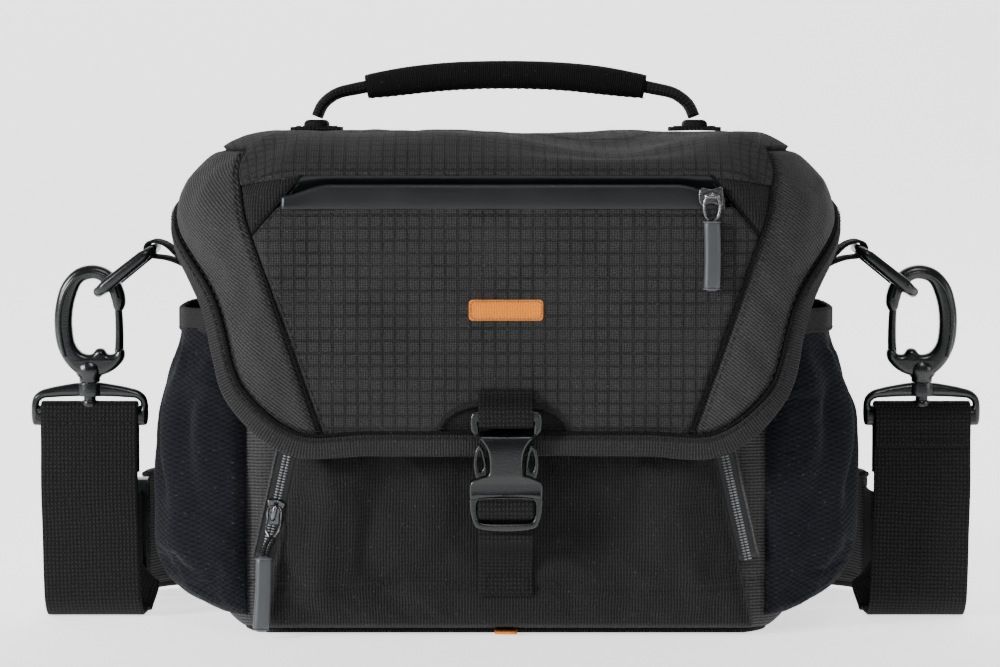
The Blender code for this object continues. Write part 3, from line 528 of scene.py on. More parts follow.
def fabric(name, pattern, dark, light, relief=0.00032, rough=0.96, sheen=0.03, turn=0.0, grid=None,
           fuzz=0.10):
    """A woven cloth: pattern gives the threads' height from the flat coordinates.

    turn is the weave's angle, grid the pitch, width and strength of a ripstop grid, and fuzz the
    strength of pale specks of lint. Where the mask is 1 the cloth is in deep shade.
    """
    g = Graph(name, Sheen_Weight=sheen, Sheen_Roughness=0.45, Specular_IOR_Level=0.10)
    place, s, t, mask = g.flat()
    wobble = g.noise(place, 160.0, 2.0)
    s = g.math("MULTIPLY_ADD", wobble, 0.0009, s)
    t = g.math("MULTIPLY_ADD", wobble, -0.0007, t)
    height = pattern(g, *g.turned(s, t, turn))
    thread = g.noise(place, 1700.0, 1.0)
    tone = g.math("MULTIPLY_ADD", thread, 1.3, g.math("MULTIPLY_ADD", height, 0.75, -0.42))
    colour = g.mix(tone, dark, light)
    if grid:
        pitch, width, strength = grid
        lines = g.math("MAXIMUM", g.line(s, pitch, width), g.line(t, pitch, width))
        lines = g.math("MULTIPLY", lines, g.math("SUBTRACT", 1.0, mask))
        lines = g.math("MULTIPLY", lines, g.math("MULTIPLY", g.noise(place, 50.0, 2.0), 1.4))
        colour = g.mix(g.math("MULTIPLY", lines, strength), colour, scaled(dark, 0.35))
        height = g.math("MULTIPLY_ADD", lines, -0.8, height)
    colour = g.mix(g.math("MULTIPLY", mask, 0.55), colour, scaled(dark, 0.3))
    worn = g.math("MULTIPLY_ADD", g.noise(place, 38.0, 4.0), 0.40, 0.80)
    shade = g.tree.nodes.new("ShaderNodeHueSaturation")
    g.feed(shade.inputs["Value"], worn)
    g.feed(shade.inputs["Color"], colour)
    lint = g.math("GREATER_THAN", g.noise(place, 900.0, 0.0), 0.79)
    colour = g.mix(g.math("MULTIPLY", lint, fuzz), shade.outputs[0], (0.22, 0.22, 0.22, 1.0))
    roughness = g.math("MULTIPLY_ADD", thread, 0.12, rough - 0.06)
    height = g.math("MULTIPLY_ADD", thread, 0.35, height)
    return g.finish(colour, roughness, height, relief)


def moulded(name, dark, light, rough, metallic=0.0, shine=0.5):
    """Moulded plastic, rubber or metal: fine grain, faint flow marks, and edges rubbed lighter."""
    g = Graph(name, Metallic=metallic, Specular_IOR_Level=shine)
    place = g.object_place()
    fine, broad = g.noise(place, 1400.0, 3.0), g.noise(place, 55.0, 4.0)
    rub = g.tree.nodes.new("ShaderNodeNewGeometry").outputs["Pointiness"]
    rub = g.math("MULTIPLY", g.math("MAXIMUM", g.math("SUBTRACT", rub, 0.53), 0.0), 9.0)
    rub = g.math("MINIMUM", g.math("MULTIPLY", rub, g.math("ADD", fine, 0.4)), 0.35)
    colour = g.mix(g.math("MULTIPLY_ADD", broad, 0.8, 0.1), dark, light)
    colour = g.mix(rub, colour, scaled(light, 3.2))
    roughness = g.math("ADD", g.math("MULTIPLY_ADD", broad, 0.18, rough - 0.12),
                       g.math("MULTIPLY", fine, 0.08))
    return g.finish(colour, roughness, fine, 0.00006)


def make_looks():
    """The finishes, most named for the record's material slots. Colours are linear."""
    rib_steps = {  # turned ribs: pitch, step, dark, light, settings
        "body_cloth": (0.00130, 0.0018, 0.0016, 0.019, {}),
        "hem_cloth": (0.00125, 0.0016, 0.004, 0.030, {}),
        "grip_cloth": (0.0010, 0.0012, 0.0006, 0.009, {"sheen": 0.0}),
        "wing_cloth": (0.00130, 0.0017, 0.006, 0.046, {"turn": 52.0}),
    }
    looks = {name: fabric(name, lambda g, s, t, pitch=pitch, step=step: ribs(g, s, t, pitch, step),
                          rgb(dark), rgb(light), **more)
             for name, (pitch, step, dark, light, more) in rib_steps.items()}
    weaves = {  # plain weaves: pitch, dark, light, settings
        "ripstop": (0.00150, rgb(0.003), rgb(0.034), {"turn": 45.0, "grid": (0.0054, 0.0015, 0.55)}),
        "binding": (0.00110, rgb(0.005), rgb(0.022), {"turn": 38.0}),
        "lining": (0.0009, rgb(0.16, 0.04), rgb(0.30, 0.04), {"sheen": 0.5, "rough": 0.95}),
        "rain_cloth": (0.0008, rgb(0.10, 0.1), rgb(0.18, 0.1), {"rough": 0.5}),
    }
    for name, (pitch, dark, light, more) in weaves.items():
        looks[name] = fabric(name, lambda g, s, t, pitch=pitch: plain_weave(g, s, t, pitch),
                             dark, light, **more)
    looks["side_cloth"] = fabric("side_cloth", lambda g, s, t: ribs(g, t, s, 0.00140, 0.0020),
                                 rgb(0.008), rgb(0.062))
    looks["stretch_mesh"] = fabric("stretch_mesh", lambda g, s, t: dashes(g, s, t, 0.0011, 0.0030),
                                   (0.0004, 0.0004, 0.0006, 1), (0.0085, 0.0094, 0.0130, 1))
    looks["webbing"] = fabric("webbing", lambda g, s, t: g.math("MULTIPLY", g.wave(s, 0.0018), g.wave(t, 0.0017)),
                              rgb(0.0006), rgb(0.018), relief=0.0004, sheen=0.0, rough=0.80, fuzz=0.03)
    looks["accent"] = fabric("accent", lambda g, s, t: ribs(g, s, t, 0.0007, 0.0011), (0.45, 0.11, 0.008, 1),
                             (0.85, 0.27, 0.025, 1), rough=0.6, fuzz=0.0)
    for name, dark, light, rough, more in (
        ("zip_tape", (0.0012, 0.0019, 0.0026, 1), (0.0028, 0.0040, 0.0052, 1), 0.38, {"shine": 0.35}),
        ("black_plastic", (0.0006, 0.0012, 0.0015, 1), (0.0018, 0.0032, 0.0038, 1), 0.24, {}),
        ("dark_metal", (0.07, 0.07, 0.075, 1), (0.14, 0.14, 0.15, 1), 0.26, {"metallic": 1.0}),
        ("rubber", (0.020, 0.022, 0.025, 1), (0.036, 0.040, 0.045, 1), 0.42, {}),
        ("board", rgb(0.04), rgb(0.07), 0.6, {}),
        ("thread", rgb(0.003), rgb(0.009), 0.9, {"shine": 0.1}),
        ("teeth", (0.05, 0.052, 0.055, 1), (0.10, 0.105, 0.11, 1), 0.35, {}),
    ):
        looks[name] = moulded(name, dark, light, rough, **more)
    return looks


LOOKS = make_looks()


def dress(obj, look, body, stands_for=()):
    """Gives a piece its finish, its body and the CAD nodes it stands for."""
    obj.data.materials.clear()
    obj.data.materials.append(LOOKS[look])
    if body:
        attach(obj, body)
    if stands_for:
        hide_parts(*stands_for)
    return obj


# ---------------------------------------------------------------- cloth simulation
def settle(obj, held, cap, frames, pressure=0.0, grow=0.0):
    """Lets a sheet settle by cloth simulation, held where held is 1, and keeps the result.

    grow is the share of spare cloth, which folds. A point moves at most cap from its drawn place.
    """
    scene = bpy.context.scene
    shells = [shell.thickness for shell in obj.modifiers]
    obj.modifiers.clear()
    rest = points_of(obj)
    group = obj.vertex_groups.new(name="held")
    for index, weight in enumerate(np.asarray(held, float).ravel()):
        if weight > 0.01:
            group.add([index], float(weight), "REPLACE")
    modifier = obj.modifiers.new("settle", "CLOTH")
    settings = modifier.settings
    settings.quality = 6
    settings.mass = 0.25
    settings.tension_stiffness = settings.compression_stiffness = settings.shear_stiffness = 8.0
    settings.bending_stiffness = 0.35
    settings.vertex_group_mass = "held"
    settings.shrink_min = -grow
    settings.effector_weights.gravity = 0.0
    if pressure:
        settings.use_pressure = True
        settings.uniform_pressure_force = pressure
    modifier.collision_settings.use_collision = False
    scene.frame_start, scene.frame_end = 1, frames
    modifier.point_cache.frame_start, modifier.point_cache.frame_end = 1, frames
    for number in range(1, frames + 1):
        scene.frame_set(number)
    result = obj.evaluated_get(bpy.context.evaluated_depsgraph_get()).data
    moved = np.array([v.co for v in result.vertices]) - rest
    far = np.linalg.norm(moved, axis=1, keepdims=True)
    moved *= np.minimum(1.0, cap * np.tanh(far / cap) / np.maximum(far, 1e-9))
    obj.modifiers.clear()
    obj.vertex_groups.clear()
    set_points(obj.data, rest + moved)
    obj.data.update()
    scene.frame_set(1)
    for thickness in shells:
        thicken(obj, thickness)
    return obj


# ---------------------------------------------------------------- skins
def plan(s, half, front, corner):
    """Plan point and outward normal at arc length s from the middle of the front."""
    side = np.where(s < 0, -1.0, 1.0)
    s = np.abs(s)
    flat, quarter = half - corner, corner * math.pi / 2
    a = np.clip((s - flat) / corner, 0.0, math.pi / 2)
    x = np.minimum(s, flat) + corner * np.sin(a)
    y = front + corner - corner * np.cos(a) + np.maximum(s - flat - quarter, 0.0)
    return side * x, y, side * np.sin(a), -np.cos(a)


SIDE_OUT = ((0.090, 0.0010), (0.137, 0.0020), (0.153, 0.0042), (0.164, 0.0078), (0.172, 0.0098),
            (0.180, 0.0104), (0.190, 0.0084), (0.1957, 0.0056), (0.2000, 0.0026), (0.2035, -0.0005),
            (0.2080, -0.0045), (0.2110, -0.0078), (0.2148, -0.0125), (0.2190, -0.0205), (0.2207, -0.0290))
FRONT_OUT = ((0.082, -0.0006), (0.100, 0.0), (0.150, 0.0), (0.197, 0.0), (0.202, -0.0010), (0.208, -0.0050),
             (0.2148, -0.0130), (0.2190, -0.0220), (0.2207, -0.0320))


def lid_skin(s, z, out=0.0):
    """Points on the lid's outer cloth: sides that flare as they drop, and round shoulders."""
    s, z = np.broadcast_arrays(np.asarray(s, float), np.asarray(z, float))
    x, y, nx, ny = plan(s, LID_HALF, LID_FRONT, LID_CORNER)
    side = ease(np.abs(s), 0.112, 0.182)
    out = out + read(SIDE_OUT, z) * side + read(FRONT_OUT, z) * (1 - side)
    away = np.abs(s)
    out = out - 0.0035 * ease(z, 0.180, 0.200) * ease(away, 0.095, 0.112) * (1 - ease(away, 0.12, 0.17))
    return np.stack([x + nx * out, y + ny * out, z], axis=-1)


def skin_normal(skin, s, z):
    """Outward normals of a skin."""
    step = 0.0006
    ds = skin(s + step, z) - skin(s - step, z)
    dz = skin(s, z + step) - skin(s, z - step)
    return unit(np.cross(ds, dz))


def on_skin(skin, s, z, lift=0.0):
    """Points lifted off a skin along its normal, with the normals."""
    s, z = np.broadcast_arrays(np.asarray(s, float), np.asarray(z, float))
    normal = skin_normal(skin, s, z)
    return skin(s, z) + normal * np.asarray(lift)[..., None], normal


def body_skin(s, z, out=0.0):
    """Points on the tub's outer cloth, which rounds in under the base."""
    s, z = np.broadcast_arrays(np.asarray(s, float), np.asarray(z, float))
    x, y, nx, ny = plan(s, BODY_HALF, BODY_FRONT, BODY_CORNER)
    radius = 0.008 + 0.016 * nx * nx
    under = np.clip(radius - z, 0.0, None)
    out = out - (radius - np.sqrt(np.maximum(radius ** 2 - under ** 2, 1e-9)))
    return np.stack([x + nx * out, y + ny * out, z], axis=-1)


WING_TOP = 0.2145  # height where the wings end and the crown begins
YOKE_END = 0.1178  # arc length where the seam under the crown ends at the wing
CORNER_LOW = 0.1766  # height of the corner panel's lower point
SEAM = ((HEM_Z, 0.077), (WING_TOP, 0.1236))  # main seam: height and arc length
CORNER_SEAM = ((CORNER_LOW, 0.1095), (0.2027, 0.0880))  # slanting seam by the zip's end
FLAP_EDGE = ((0.0, HEM_Z), (0.060, HEM_Z), (0.092, HEM_Z), (0.1215, 0.104), (0.1396, 0.147), (0.165, 0.172),
             (LID_SIDE_END, 0.186))
TAPE_INNER = 0.0090  # how far the binding reaches in from the flap's edge
ZIP_LOW, ZIP_TOP = 0.1875, 0.1985
YOKE = ((0.0, 0.2028), (0.070, 0.2028), (0.088, 0.2027), (YOKE_END, 0.1980))


def straight(table, x):
    """Reads straight lines through (place, value) pairs."""
    a, b = np.array(table, float).T
    return np.interp(x, a, b)


def seam_s(z):
    """Arc length of the main seam at a height."""
    (z0, s0), (z1, s1) = SEAM
    return s0 + (s1 - s0) * (np.asarray(z) - z0) / (z1 - z0)


def pull_in(distance, depth=0.0020, reach=0.0019):
    """How far cloth is drawn in beside a line of stitching."""
    return -depth * np.exp(-(np.asarray(distance) / reach) ** 2)


def coons(left, right, top, bottom):
    """A grid of flat points that fills four edge curves; left and right run from top to bottom."""
    n, m = len(left), len(top)
    u, v = np.linspace(0, 1, m)[None, :, None], np.linspace(0, 1, n)[:, None, None]
    rows = (1 - v) * top[None] + v * bottom[None]
    columns = (1 - u) * left[:, None] + u * right[:, None]
    corners = ((1 - u) * (1 - v) * top[0] + u * (1 - v) * top[-1]
               + (1 - u) * v * bottom[0] + u * v * bottom[-1])
    return rows + columns - corners


def distance_to(points, rim):
    """Distance of each grid point to the nearest of some border points."""
    flat = points.reshape(-1, points.shape[-1])
    best = np.full(len(flat), 9.0)
    for start in range(0, len(rim), 32):
        gap = np.linalg.norm(flat[:, None] - rim[None, start:start + 32], axis=2).min(axis=1)
        best = np.minimum(best, gap)
    return best.reshape(points.shape[:2])


def border_distance(points):
    """Distance of each grid point to the nearest of the grid's four edges."""
    return distance_to(points, np.vstack([points[0], points[-1], points[:, 0], points[:, -1]]))


def line_between(a, b, count):
    """Even points on a straight line."""
    return np.linspace(np.array(a, float), np.array(b, float), count)


def edge_curve(count):
    """The flap's edge from under the main seam to the rear, as (s, z) points."""
    table = np.array([p for p in FLAP_EDGE if p[0] > 0.05])
    line = smooth_path(table, 12)
    line = line[line[:, 0] >= seam_s(HEM_Z) - 1e-6]
    line = np.vstack([[seam_s(HEM_Z), HEM_Z], line])
    return resample(line, lengths(line)[-1] / (count - 1))[:count]


# ---------------------------------------------------------------- lid
ARCH = (-0.001, 0.0285, 0.0895, 0.0160)  # middle, half width, foot height and rise of the buckle's recess


def arch_level(x, z):
    """Under 1 inside the arched recess above the hem."""
    middle, half, foot, rise = ARCH
    return np.abs((x - middle) / half) ** 2.5 + (np.maximum(z - foot, 0.0) / rise) ** 2.5


def make_lid_front():
    """The ripstop panel between the main seams, drawn in at its seams, with the arched recess."""
    levels = np.linspace(HEM_Z + 0.0005, ZIP_LOW + 0.0012, 92)
    limit = np.minimum(seam_s(levels), np.interp(levels, *np.array(CORNER_SEAM).T)
                       + np.where(levels < CORNER_LOW, 1.0, 0.0))
    share = np.linspace(-1, 1, 169)
    s = share[None] * limit[:, None]
    z = np.repeat(levels[:, None], len(share), axis=1)
    side = (1 - np.abs(share))[None] * limit[:, None]
    lift = pull_in(side) + 0.0004 * ease(side, 0.0, 0.03) + 0.00045 * lumps(lid_skin(s, z), 0.045, 3)
    lift = lift + 0.0007 * lumps(lid_skin(s, z) * (1, 1, 0.35), 0.05, 31) * ease(z, 0.10, 0.14)
    level = arch_level(s, z)
    inside = 1 - ease(level, 0.97, 1.01)
    lift = lift - 0.0022 * (1 - ease(level, 0.62, 1.10))
    points, _ = on_skin(lid_skin, s, z, lift)
    panel = cloth_grid("lid_front_panel", points, np.dstack([s, z]), 0.0012, mask=inside)
    dress(panel, "ripstop", "lid", ["lid_pocket_panel"])

    middle, half, foot, rise = ARCH
    a = np.linspace(0.0, math.pi, 40)
    c, n = np.cos(a), np.sin(a)
    x = middle - half * np.sign(c) * np.abs(c) ** 0.8
    rim, out = on_skin(lid_skin, x, foot - 0.001 + rise * n ** 0.8, -0.0007)
    dress(sweep("arch_rim", rim, out, rounded(0.0024, 0.0018, 5, 3)), "binding", "lid")


def make_corner_patches():
    """The two small triangles of ribbed cloth beside the zip's ends."""
    for name, sign in (("left", -1), ("right", 1)):
        count = 26
        low = np.array([CORNER_SEAM[0][1], CORNER_SEAM[0][0]])
        zip_end = np.array([CORNER_SEAM[1][1], CORNER_SEAM[1][0]])
        top = np.stack([np.linspace(zip_end[0], YOKE_END, count), np.zeros(count)], axis=1)
        top[:, 1] = straight(YOKE, top[:, 0])
        levels = np.linspace(top[-1, 1], low[1], count)
        outer = np.stack([seam_s(levels), levels], axis=1)
        inner = line_between(zip_end, low - (0.0012, 0.0), count)
        bottom = line_between(low - (0.0012, 0.0), outer[-1], count)
        flat = coons(inner, outer, top, bottom)
        away = border_distance(flat)
        s, z = sign * flat[..., 0], flat[..., 1]
        lift = pull_in(away, 0.0012, 0.0016) + 0.0010 * ease(away, 0.001, 0.006)
        points, _ = on_skin(lid_skin, s, z, lift)
        dress(cloth_grid(f"lid_corner_{name}", points, np.dstack([s, z]), 0.0012), "body_cloth", "lid")


def make_wings():
    """The slanting side panels from the main seam round to the rear."""
    rows, columns = 74, 110
    for name, sign in (("left", -1), ("right", 1)):
        levels = np.linspace(WING_TOP, HEM_Z, rows)
        top = line_between((seam_s(WING_TOP), WING_TOP), (LID_SIDE_END, WING_TOP), columns)
        bottom = edge_curve(columns)
        down = ((levels - WING_TOP) / (HEM_Z - WING_TOP))[:, None, None]
        flat = (1 - down) * top[None] + down * bottom[None]
        seams = distance_to(flat, np.vstack([flat[0], flat[:, 0], flat[:, -1]]))
        away = np.minimum(seams, np.maximum(distance_to(flat, flat[-1]) - TAPE_INNER, 0.0))
        s, z = sign * flat[..., 0], flat[..., 1]
        base = lid_skin(s, z)
        lift = pull_in(away) + 0.0013 * ease(away, 0.002, 0.022)
        puffs = 0.0011 * lumps(base, 0.055, 7 + sign) + 0.0005 * lumps(base, 0.02, 9)
        lift = lift + ease(away, 0.0, 0.02) * puffs
        fold = np.exp(-((flat[..., 0] - 0.128 - 0.35 * (flat[..., 1] - 0.15)) / 0.006) ** 2)
        lift = lift - 0.0010 * fold * ease(away, 0.004, 0.02)
        points, _ = on_skin(lid_skin, s, z, lift)
        wing = cloth_grid(f"lid_wing_cloth_{name}", points, np.dstack([s, z]), 0.0010)
        settle(wing, np.exp(-(away / 0.003) ** 2), grow=0.010, cap=0.0022, frames=12)
        dress(wing, "wing_cloth", "lid", [f"lid_wing_{name}"])


def crown_profile(e):
    """Height of the padded top at a distance in from its rim."""
    table = ((0.0, 0.1990), (0.001, 0.2020), (0.005, 0.2080), (0.013, 0.2148), (0.022, 0.2190),
             (0.032, 0.2204), (0.050, CROWN_Z - 0.0001), (0.090, CROWN_Z + 0.0004))
    return read(table, e)


def make_crown():
    """The padded ripstop top from the yoke seam over to the hinge."""
    seam_top = float(seam_s(WING_TOP))
    front_s = np.linspace(0.0, YOKE_END, 60)
    rise_z = np.linspace(0.1980, WING_TOP, 12)[1:]
    side_s = np.linspace(seam_top, LID_SIDE_END, 60)[1:]
    half = [(s, straight(YOKE, s)) for s in front_s] + [(seam_s(z), z) for z in rise_z]
    half = np.array(half + [(s, WING_TOP) for s in side_s], float)
    base = lid_skin(half[:, 0], half[:, 1])
    x, y, nx, ny = plan(half[:, 0], LID_HALF, LID_FRONT, LID_CORNER)
    rim = np.stack([x, y, nx, ny], axis=1)
    back_x = np.linspace(base[-1, 0], 0.0, 50)[1:]
    rim = np.vstack([rim, np.column_stack([back_x, np.full(49, LID_REAR), np.zeros(49), np.ones(49)])])
    rim_z = np.concatenate([half[:, 1], np.full(49, WING_TOP)])
    rim_xy = np.vstack([base[:, :2], np.stack([back_x, np.full(49, LID_REAR)], axis=1)])
    mirror = slice(-2, 0, -1)
    rim = np.vstack([rim, rim[mirror] * (-1, 1, -1, 1)])
    rim_z = np.concatenate([rim_z, rim_z[mirror]])
    rim_xy = np.vstack([rim_xy, rim_xy[mirror] * (-1, 1)])

    half_depth = (LID_REAR - LID_FRONT) / 2
    centre = np.stack([np.clip(rim[:, 0], half_depth - LID_HALF, LID_HALF - half_depth),
                       np.full(len(rim), LID_FRONT + half_depth)], axis=1)
    reach = centre - rim_xy
    far = np.linalg.norm(reach, axis=1)
    lean = np.clip(-(reach * rim[:, 2:]).sum(axis=1) / far, 0.2, 1.0)
    lean = sum(np.roll(lean, k) for k in range(-12, 13)) / 25
    start = np.interp(rim_z, *np.array([(0.199, 0.0), (0.202, 0.001), (0.208, 0.005), (0.2148, 0.013)]).T)
    share = np.concatenate([np.linspace(0, 0.30, 26), np.linspace(0.30, 1.0, 30)[1:]])
    e = start[None] + share[:, None] * (far * lean)[None]
    xy = rim_xy[None] + reach[None] * share[:, None, None]
    z = np.maximum(crown_profile(e), rim_z[None] - 0.0002)
    z[0] = rim_z
    inner = ease(share, 0.02, 0.2)[:, None]
    dip = np.exp(-((xy[..., 0] - 0.042) / 0.036) ** 2) * (1 - ease(xy[..., 1], -0.040, 0.035))
    z = z - 0.0078 * dip * inner
    points = np.dstack([xy, z])
    from_above = points * (1, 1, 0)
    z = z + inner * (0.0009 * lumps(from_above, 0.05, 12) + 0.0004 * lumps(from_above, 0.02, 13))
    points = np.dstack([xy, z])
    fall = CROWN_Z - z
    flat = xy + rim[None, :, 2:] * fall[..., None]
    rows, columns = points.shape[:2]
    cloth = np.dstack([flat, np.zeros((rows, columns))]).reshape(-1, 3)
    crown = mesh_object("lid_crown", points.reshape(-1, 3), loft_faces(rows, columns, around=True), cloth)
    held = np.repeat(np.exp(-(share / 0.012) ** 2)[:, None], columns, axis=1)
    near_foot = np.minimum(np.hypot(xy[..., 0] - 0.088, xy[..., 1] - 0.045),
                           np.hypot(xy[..., 0] + 0.088, xy[..., 1] - 0.045))
    held = np.maximum(held, 1 - ease(near_foot, 0.014, 0.022))
    settle(crown, held, grow=0.012, cap=0.0016, frames=12)
    merge_points(crown, 2e-5, outwards=False)
    face_out(crown)
    thicken(crown, 0.0022)
    dress(crown, "ripstop", "lid", ["lid_top"])

    level = np.linspace(0.1990, 0.2150, 14)[:, None]
    half_x = lid_skin(np.full(14, LID_SIDE_END), level[:, 0])[:, :1] - 0.0012
    x = half_x * np.linspace(-1, 1, 110)[None]
    y = LID_REAR - 0.0004 + 0.0016 * np.sin(np.pi * (level - 0.1990) / 0.0160) + 0 * x
    back = np.dstack([x, y, level + 0 * x])
    back[..., 1] += 0.0003 * lumps(back, 0.03, 14)
    dress(cloth_grid("lid_back", back, np.dstack([x, level + 0 * x]), 0.0022), "body_cloth", "lid")
    edge = np.array([(x, LID_REAR + 0.0002, 0.2148) for x in np.linspace(-half_x[-1, 0], half_x[-1, 0], 90)])
    dress(sweep("lid_back_piping", edge, (0, 0.7, 0.7), circle(0.0013, 10)), "binding", "lid")


def make_lid_lining():
    """The padded underside of the top and the inner panel of the flap."""
    ring = rounded_loop(0.1305, -0.0790, 0.0750, 0.0370, 0.0040)
    share = np.linspace(1.0, 0.001, 30)[:, None]
    x, y = ring[None, :, 0] * share, -0.002 + (ring[None, :, 1] + 0.002) * share
    puff = np.sqrt(np.clip(1 - share ** 8, 0, 1)) + 0 * x
    points = np.dstack([x, y, 0.1995 - 0.0030 * puff])
    points[..., 2] += 0.0005 * puff * lumps(points, 0.05, 40)
    points, x, y = (np.concatenate([v, v[:, :1]], axis=1) for v in (points, x, y))
    lining = cloth_grid("lid_lining", points, np.dstack([x, y]), 0.0030, inside=(0, 0, 0.3))
    dress(lining, "side_cloth", "lid", ["lid_foam"])

    levels = np.linspace(HEM_Z + 0.002, 0.1990, 60)
    share = np.linspace(-1, 1, 90)
    half = seam_s(levels) - 0.0030
    s, z = share[None] * half[:, None], np.repeat(levels[:, None], 90, axis=1)
    depth = ease((1 - np.abs(share))[None] * half[:, None], 0.0, 0.012) * ease(z, 0.083, 0.095)
    points = lid_skin(s, z, -0.0025 - 0.0085 * depth)
    points[..., 1] += 0.0005 * depth * lumps(points, 0.04, 41)
    panel = cloth_grid("lid_flap_lining", points, np.dstack([s, z]), 0.0012)
    dress(panel, "side_cloth", "lid", ["lid_flap"])


def make_binding():
    """Folded tape along the flap's whole edge, with the stitches that hold it and a near-black cord of painted
    crease shade.
    """
    table = np.array([(-s, z) for s, z in reversed(FLAP_EDGE)][:-1] + list(FLAP_EDGE))
    line = resample(smooth_path(table, 14), 0.0022)
    step = unit(np.gradient(line, axis=0))
    inward = np.stack([-step[:, 1], step[:, 0]], axis=1)
    width, thick = TAPE_INNER + 0.0008, 0.0050
    middle = line + inward * (width / 2 - 0.0008)
    path, out = on_skin(lid_skin, middle[:, 0], middle[:, 1], -0.0006)
    uneven = 1 + 0.04 * lumps(path, 0.018, 21)
    tape = sweep("lid_edge_tape", path, out, rounded(width, thick, 9, 6), scale=uneven)
    dress(tape, "hem_cloth", "lid", ["lid_binding"])
    # A thin near-black cord along the tape's inner edge: painted shade for the deep crease there, not a real
    # part.
    row = line + inward * (width - 0.0002)
    path, out = on_skin(lid_skin, row[:, 0], row[:, 1], 0.0007)
    dress(sweep("lid_edge_crease", path, out, circle(0.0007, 8)), "grip_cloth", "lid")
    for name, inset, lift in (("tape_stitches", width - 0.0022, 0.0019),
                              ("edge_stitches", width + 0.0016, 0.0003)):
        row = line + inward * inset
        path, out = on_skin(lid_skin, row[:, 0], row[:, 1], lift)
        dress(stitches(f"lid_{name}", path, out), "thread", "lid")


def make_seam_threads():
    """Top-stitching beside the main seams, the corner seams and the yoke."""
    levels = np.linspace(0.0905, 0.2120, 80)
    rows = []
    for sign in (-1, 1):
        rows.append((sign * (seam_s(levels) + 0.0030), levels))
        rows.append((sign * (seam_s(levels[:50]) - 0.0026), levels[:50]))
        (z0, s0), (z1, s1) = CORNER_SEAM
        share = np.linspace(0.04, 0.92, 30)
        rows.append((sign * (s0 + (s1 - s0) * share - 0.0022), z0 + (z1 - z0) * share))
    across = np.linspace(-0.098, 0.098, 120)
    rows.append((across, np.full(120, ZIP_LOW - 0.0022)))
    across = np.linspace(-0.115, 0.115, 140)
    rows.append((across, straight(YOKE, np.abs(across)) + 0.0022))
    made = []
    for index, (s, z) in enumerate(rows):
        path, out = on_skin(lid_skin, s, z, 0.0003)
        made.append(stitches(f"row_{index}", path, out))
    dress(joined("lid_seam_stitches", made), "thread", "lid")
    made = []
    for sign in (-1, 1):
        levels = np.linspace(0.0915, 0.2140, 90)
        path, out = on_skin(lid_skin, sign * seam_s(levels), levels, -0.0003)
        made.append(sweep(f"main_{sign + 1}", path, out, circle(0.0006, 8)))
        (z0, s0), (z1, s1) = CORNER_SEAM
        share = np.linspace(0.0, 1.0, 24)
        path, out = on_skin(lid_skin, sign * (s0 + (s1 - s0) * share), z0 + (z1 - z0) * share, -0.0008)
        made.append(sweep(f"corner_{sign + 1}", path, out, circle(0.0006, 8)))
    dress(joined("lid_seam_shadows", made), "grip_cloth", "lid")


def make_lid_zip():
    """The coated tapes: a raised lip below, and a glossy strip that runs up under the yoke."""
    s = np.linspace(-0.0965, 0.0940, 120)
    ends = ease(0.0965 - np.abs(s + 0.0012), 0.0, 0.022)
    top = ZIP_LOW + 0.0062 + (ZIP_TOP - ZIP_LOW - 0.0062) * ends
    low = np.full(len(s), ZIP_LOW)
    share = np.concatenate([np.linspace(0, 0.12, 4), np.linspace(0.12, 0.9, 7)[1:],
                            np.linspace(0.9, 1.0, 4)[1:]])
    z = low[None] + (top - low)[None] * share[:, None]
    roll = 0.0014 * np.sqrt(np.clip(1 - (2 * share[:, None] - 1) ** 6, 0, 1))
    roll = roll + 0.0016 * share[:, None] * ends[None]
    points, _ = on_skin(lid_skin, np.broadcast_to(s, z.shape), z,
                        roll - 0.0004 + 0.0002 * lumps(lid_skin(s, z), 0.03, 5))
    tape = cloth_grid("zip_lip", points, np.dstack([np.broadcast_to(s, z.shape), z]), 0.0016)
    dress(tape, "zip_tape", "lid", ["lid_zip_tape_lower"])

    high = straight(YOKE, np.abs(s)) + 0.0012
    low = top - 0.0075
    share = np.linspace(0, 1, 16)
    z = low[None] + (high - low)[None] * share[:, None]
    sunk = -0.0048 + 0.0042 * ease(share[:, None], 0.45, 1.0) + 0 * z
    points, _ = on_skin(lid_skin, np.broadcast_to(s, z.shape), z, sunk)
    strip = cloth_grid("zip_strip", points, np.dstack([np.broadcast_to(s, z.shape), z]), 0.0010)
    dress(strip, "zip_tape", "lid", ["lid_zip_tape_upper"])


def make_badge():
    """A plain woven patch with a stitched edge."""
    face, mid_z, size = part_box("emblem_patch")[0].y, middle_of("emblem_patch")[2], size_of("emblem_patch")
    outline = rounded_corners(size.x / 2, size.z / 2, 0.0016, 5)
    patch = plate("badge", outline, [], 0.0009, 0.0003, (0.0, face + 0.0006, mid_z))
    lay_flat(patch.data, points_of(patch)[:, [0, 2, 1]] * (1, 1, 0))
    dress(patch, "accent", "lid", ["emblem_patch"])
    ring = np.array([(x * 0.955, face, mid_z + z * 0.84) for x, z in outline + outline[:1]])
    dress(stitches("badge_stitches", resample(ring, 0.001), (0, -1, 0), 0.0011, 0.0004, 0.0002), "rubber",
          "lid")


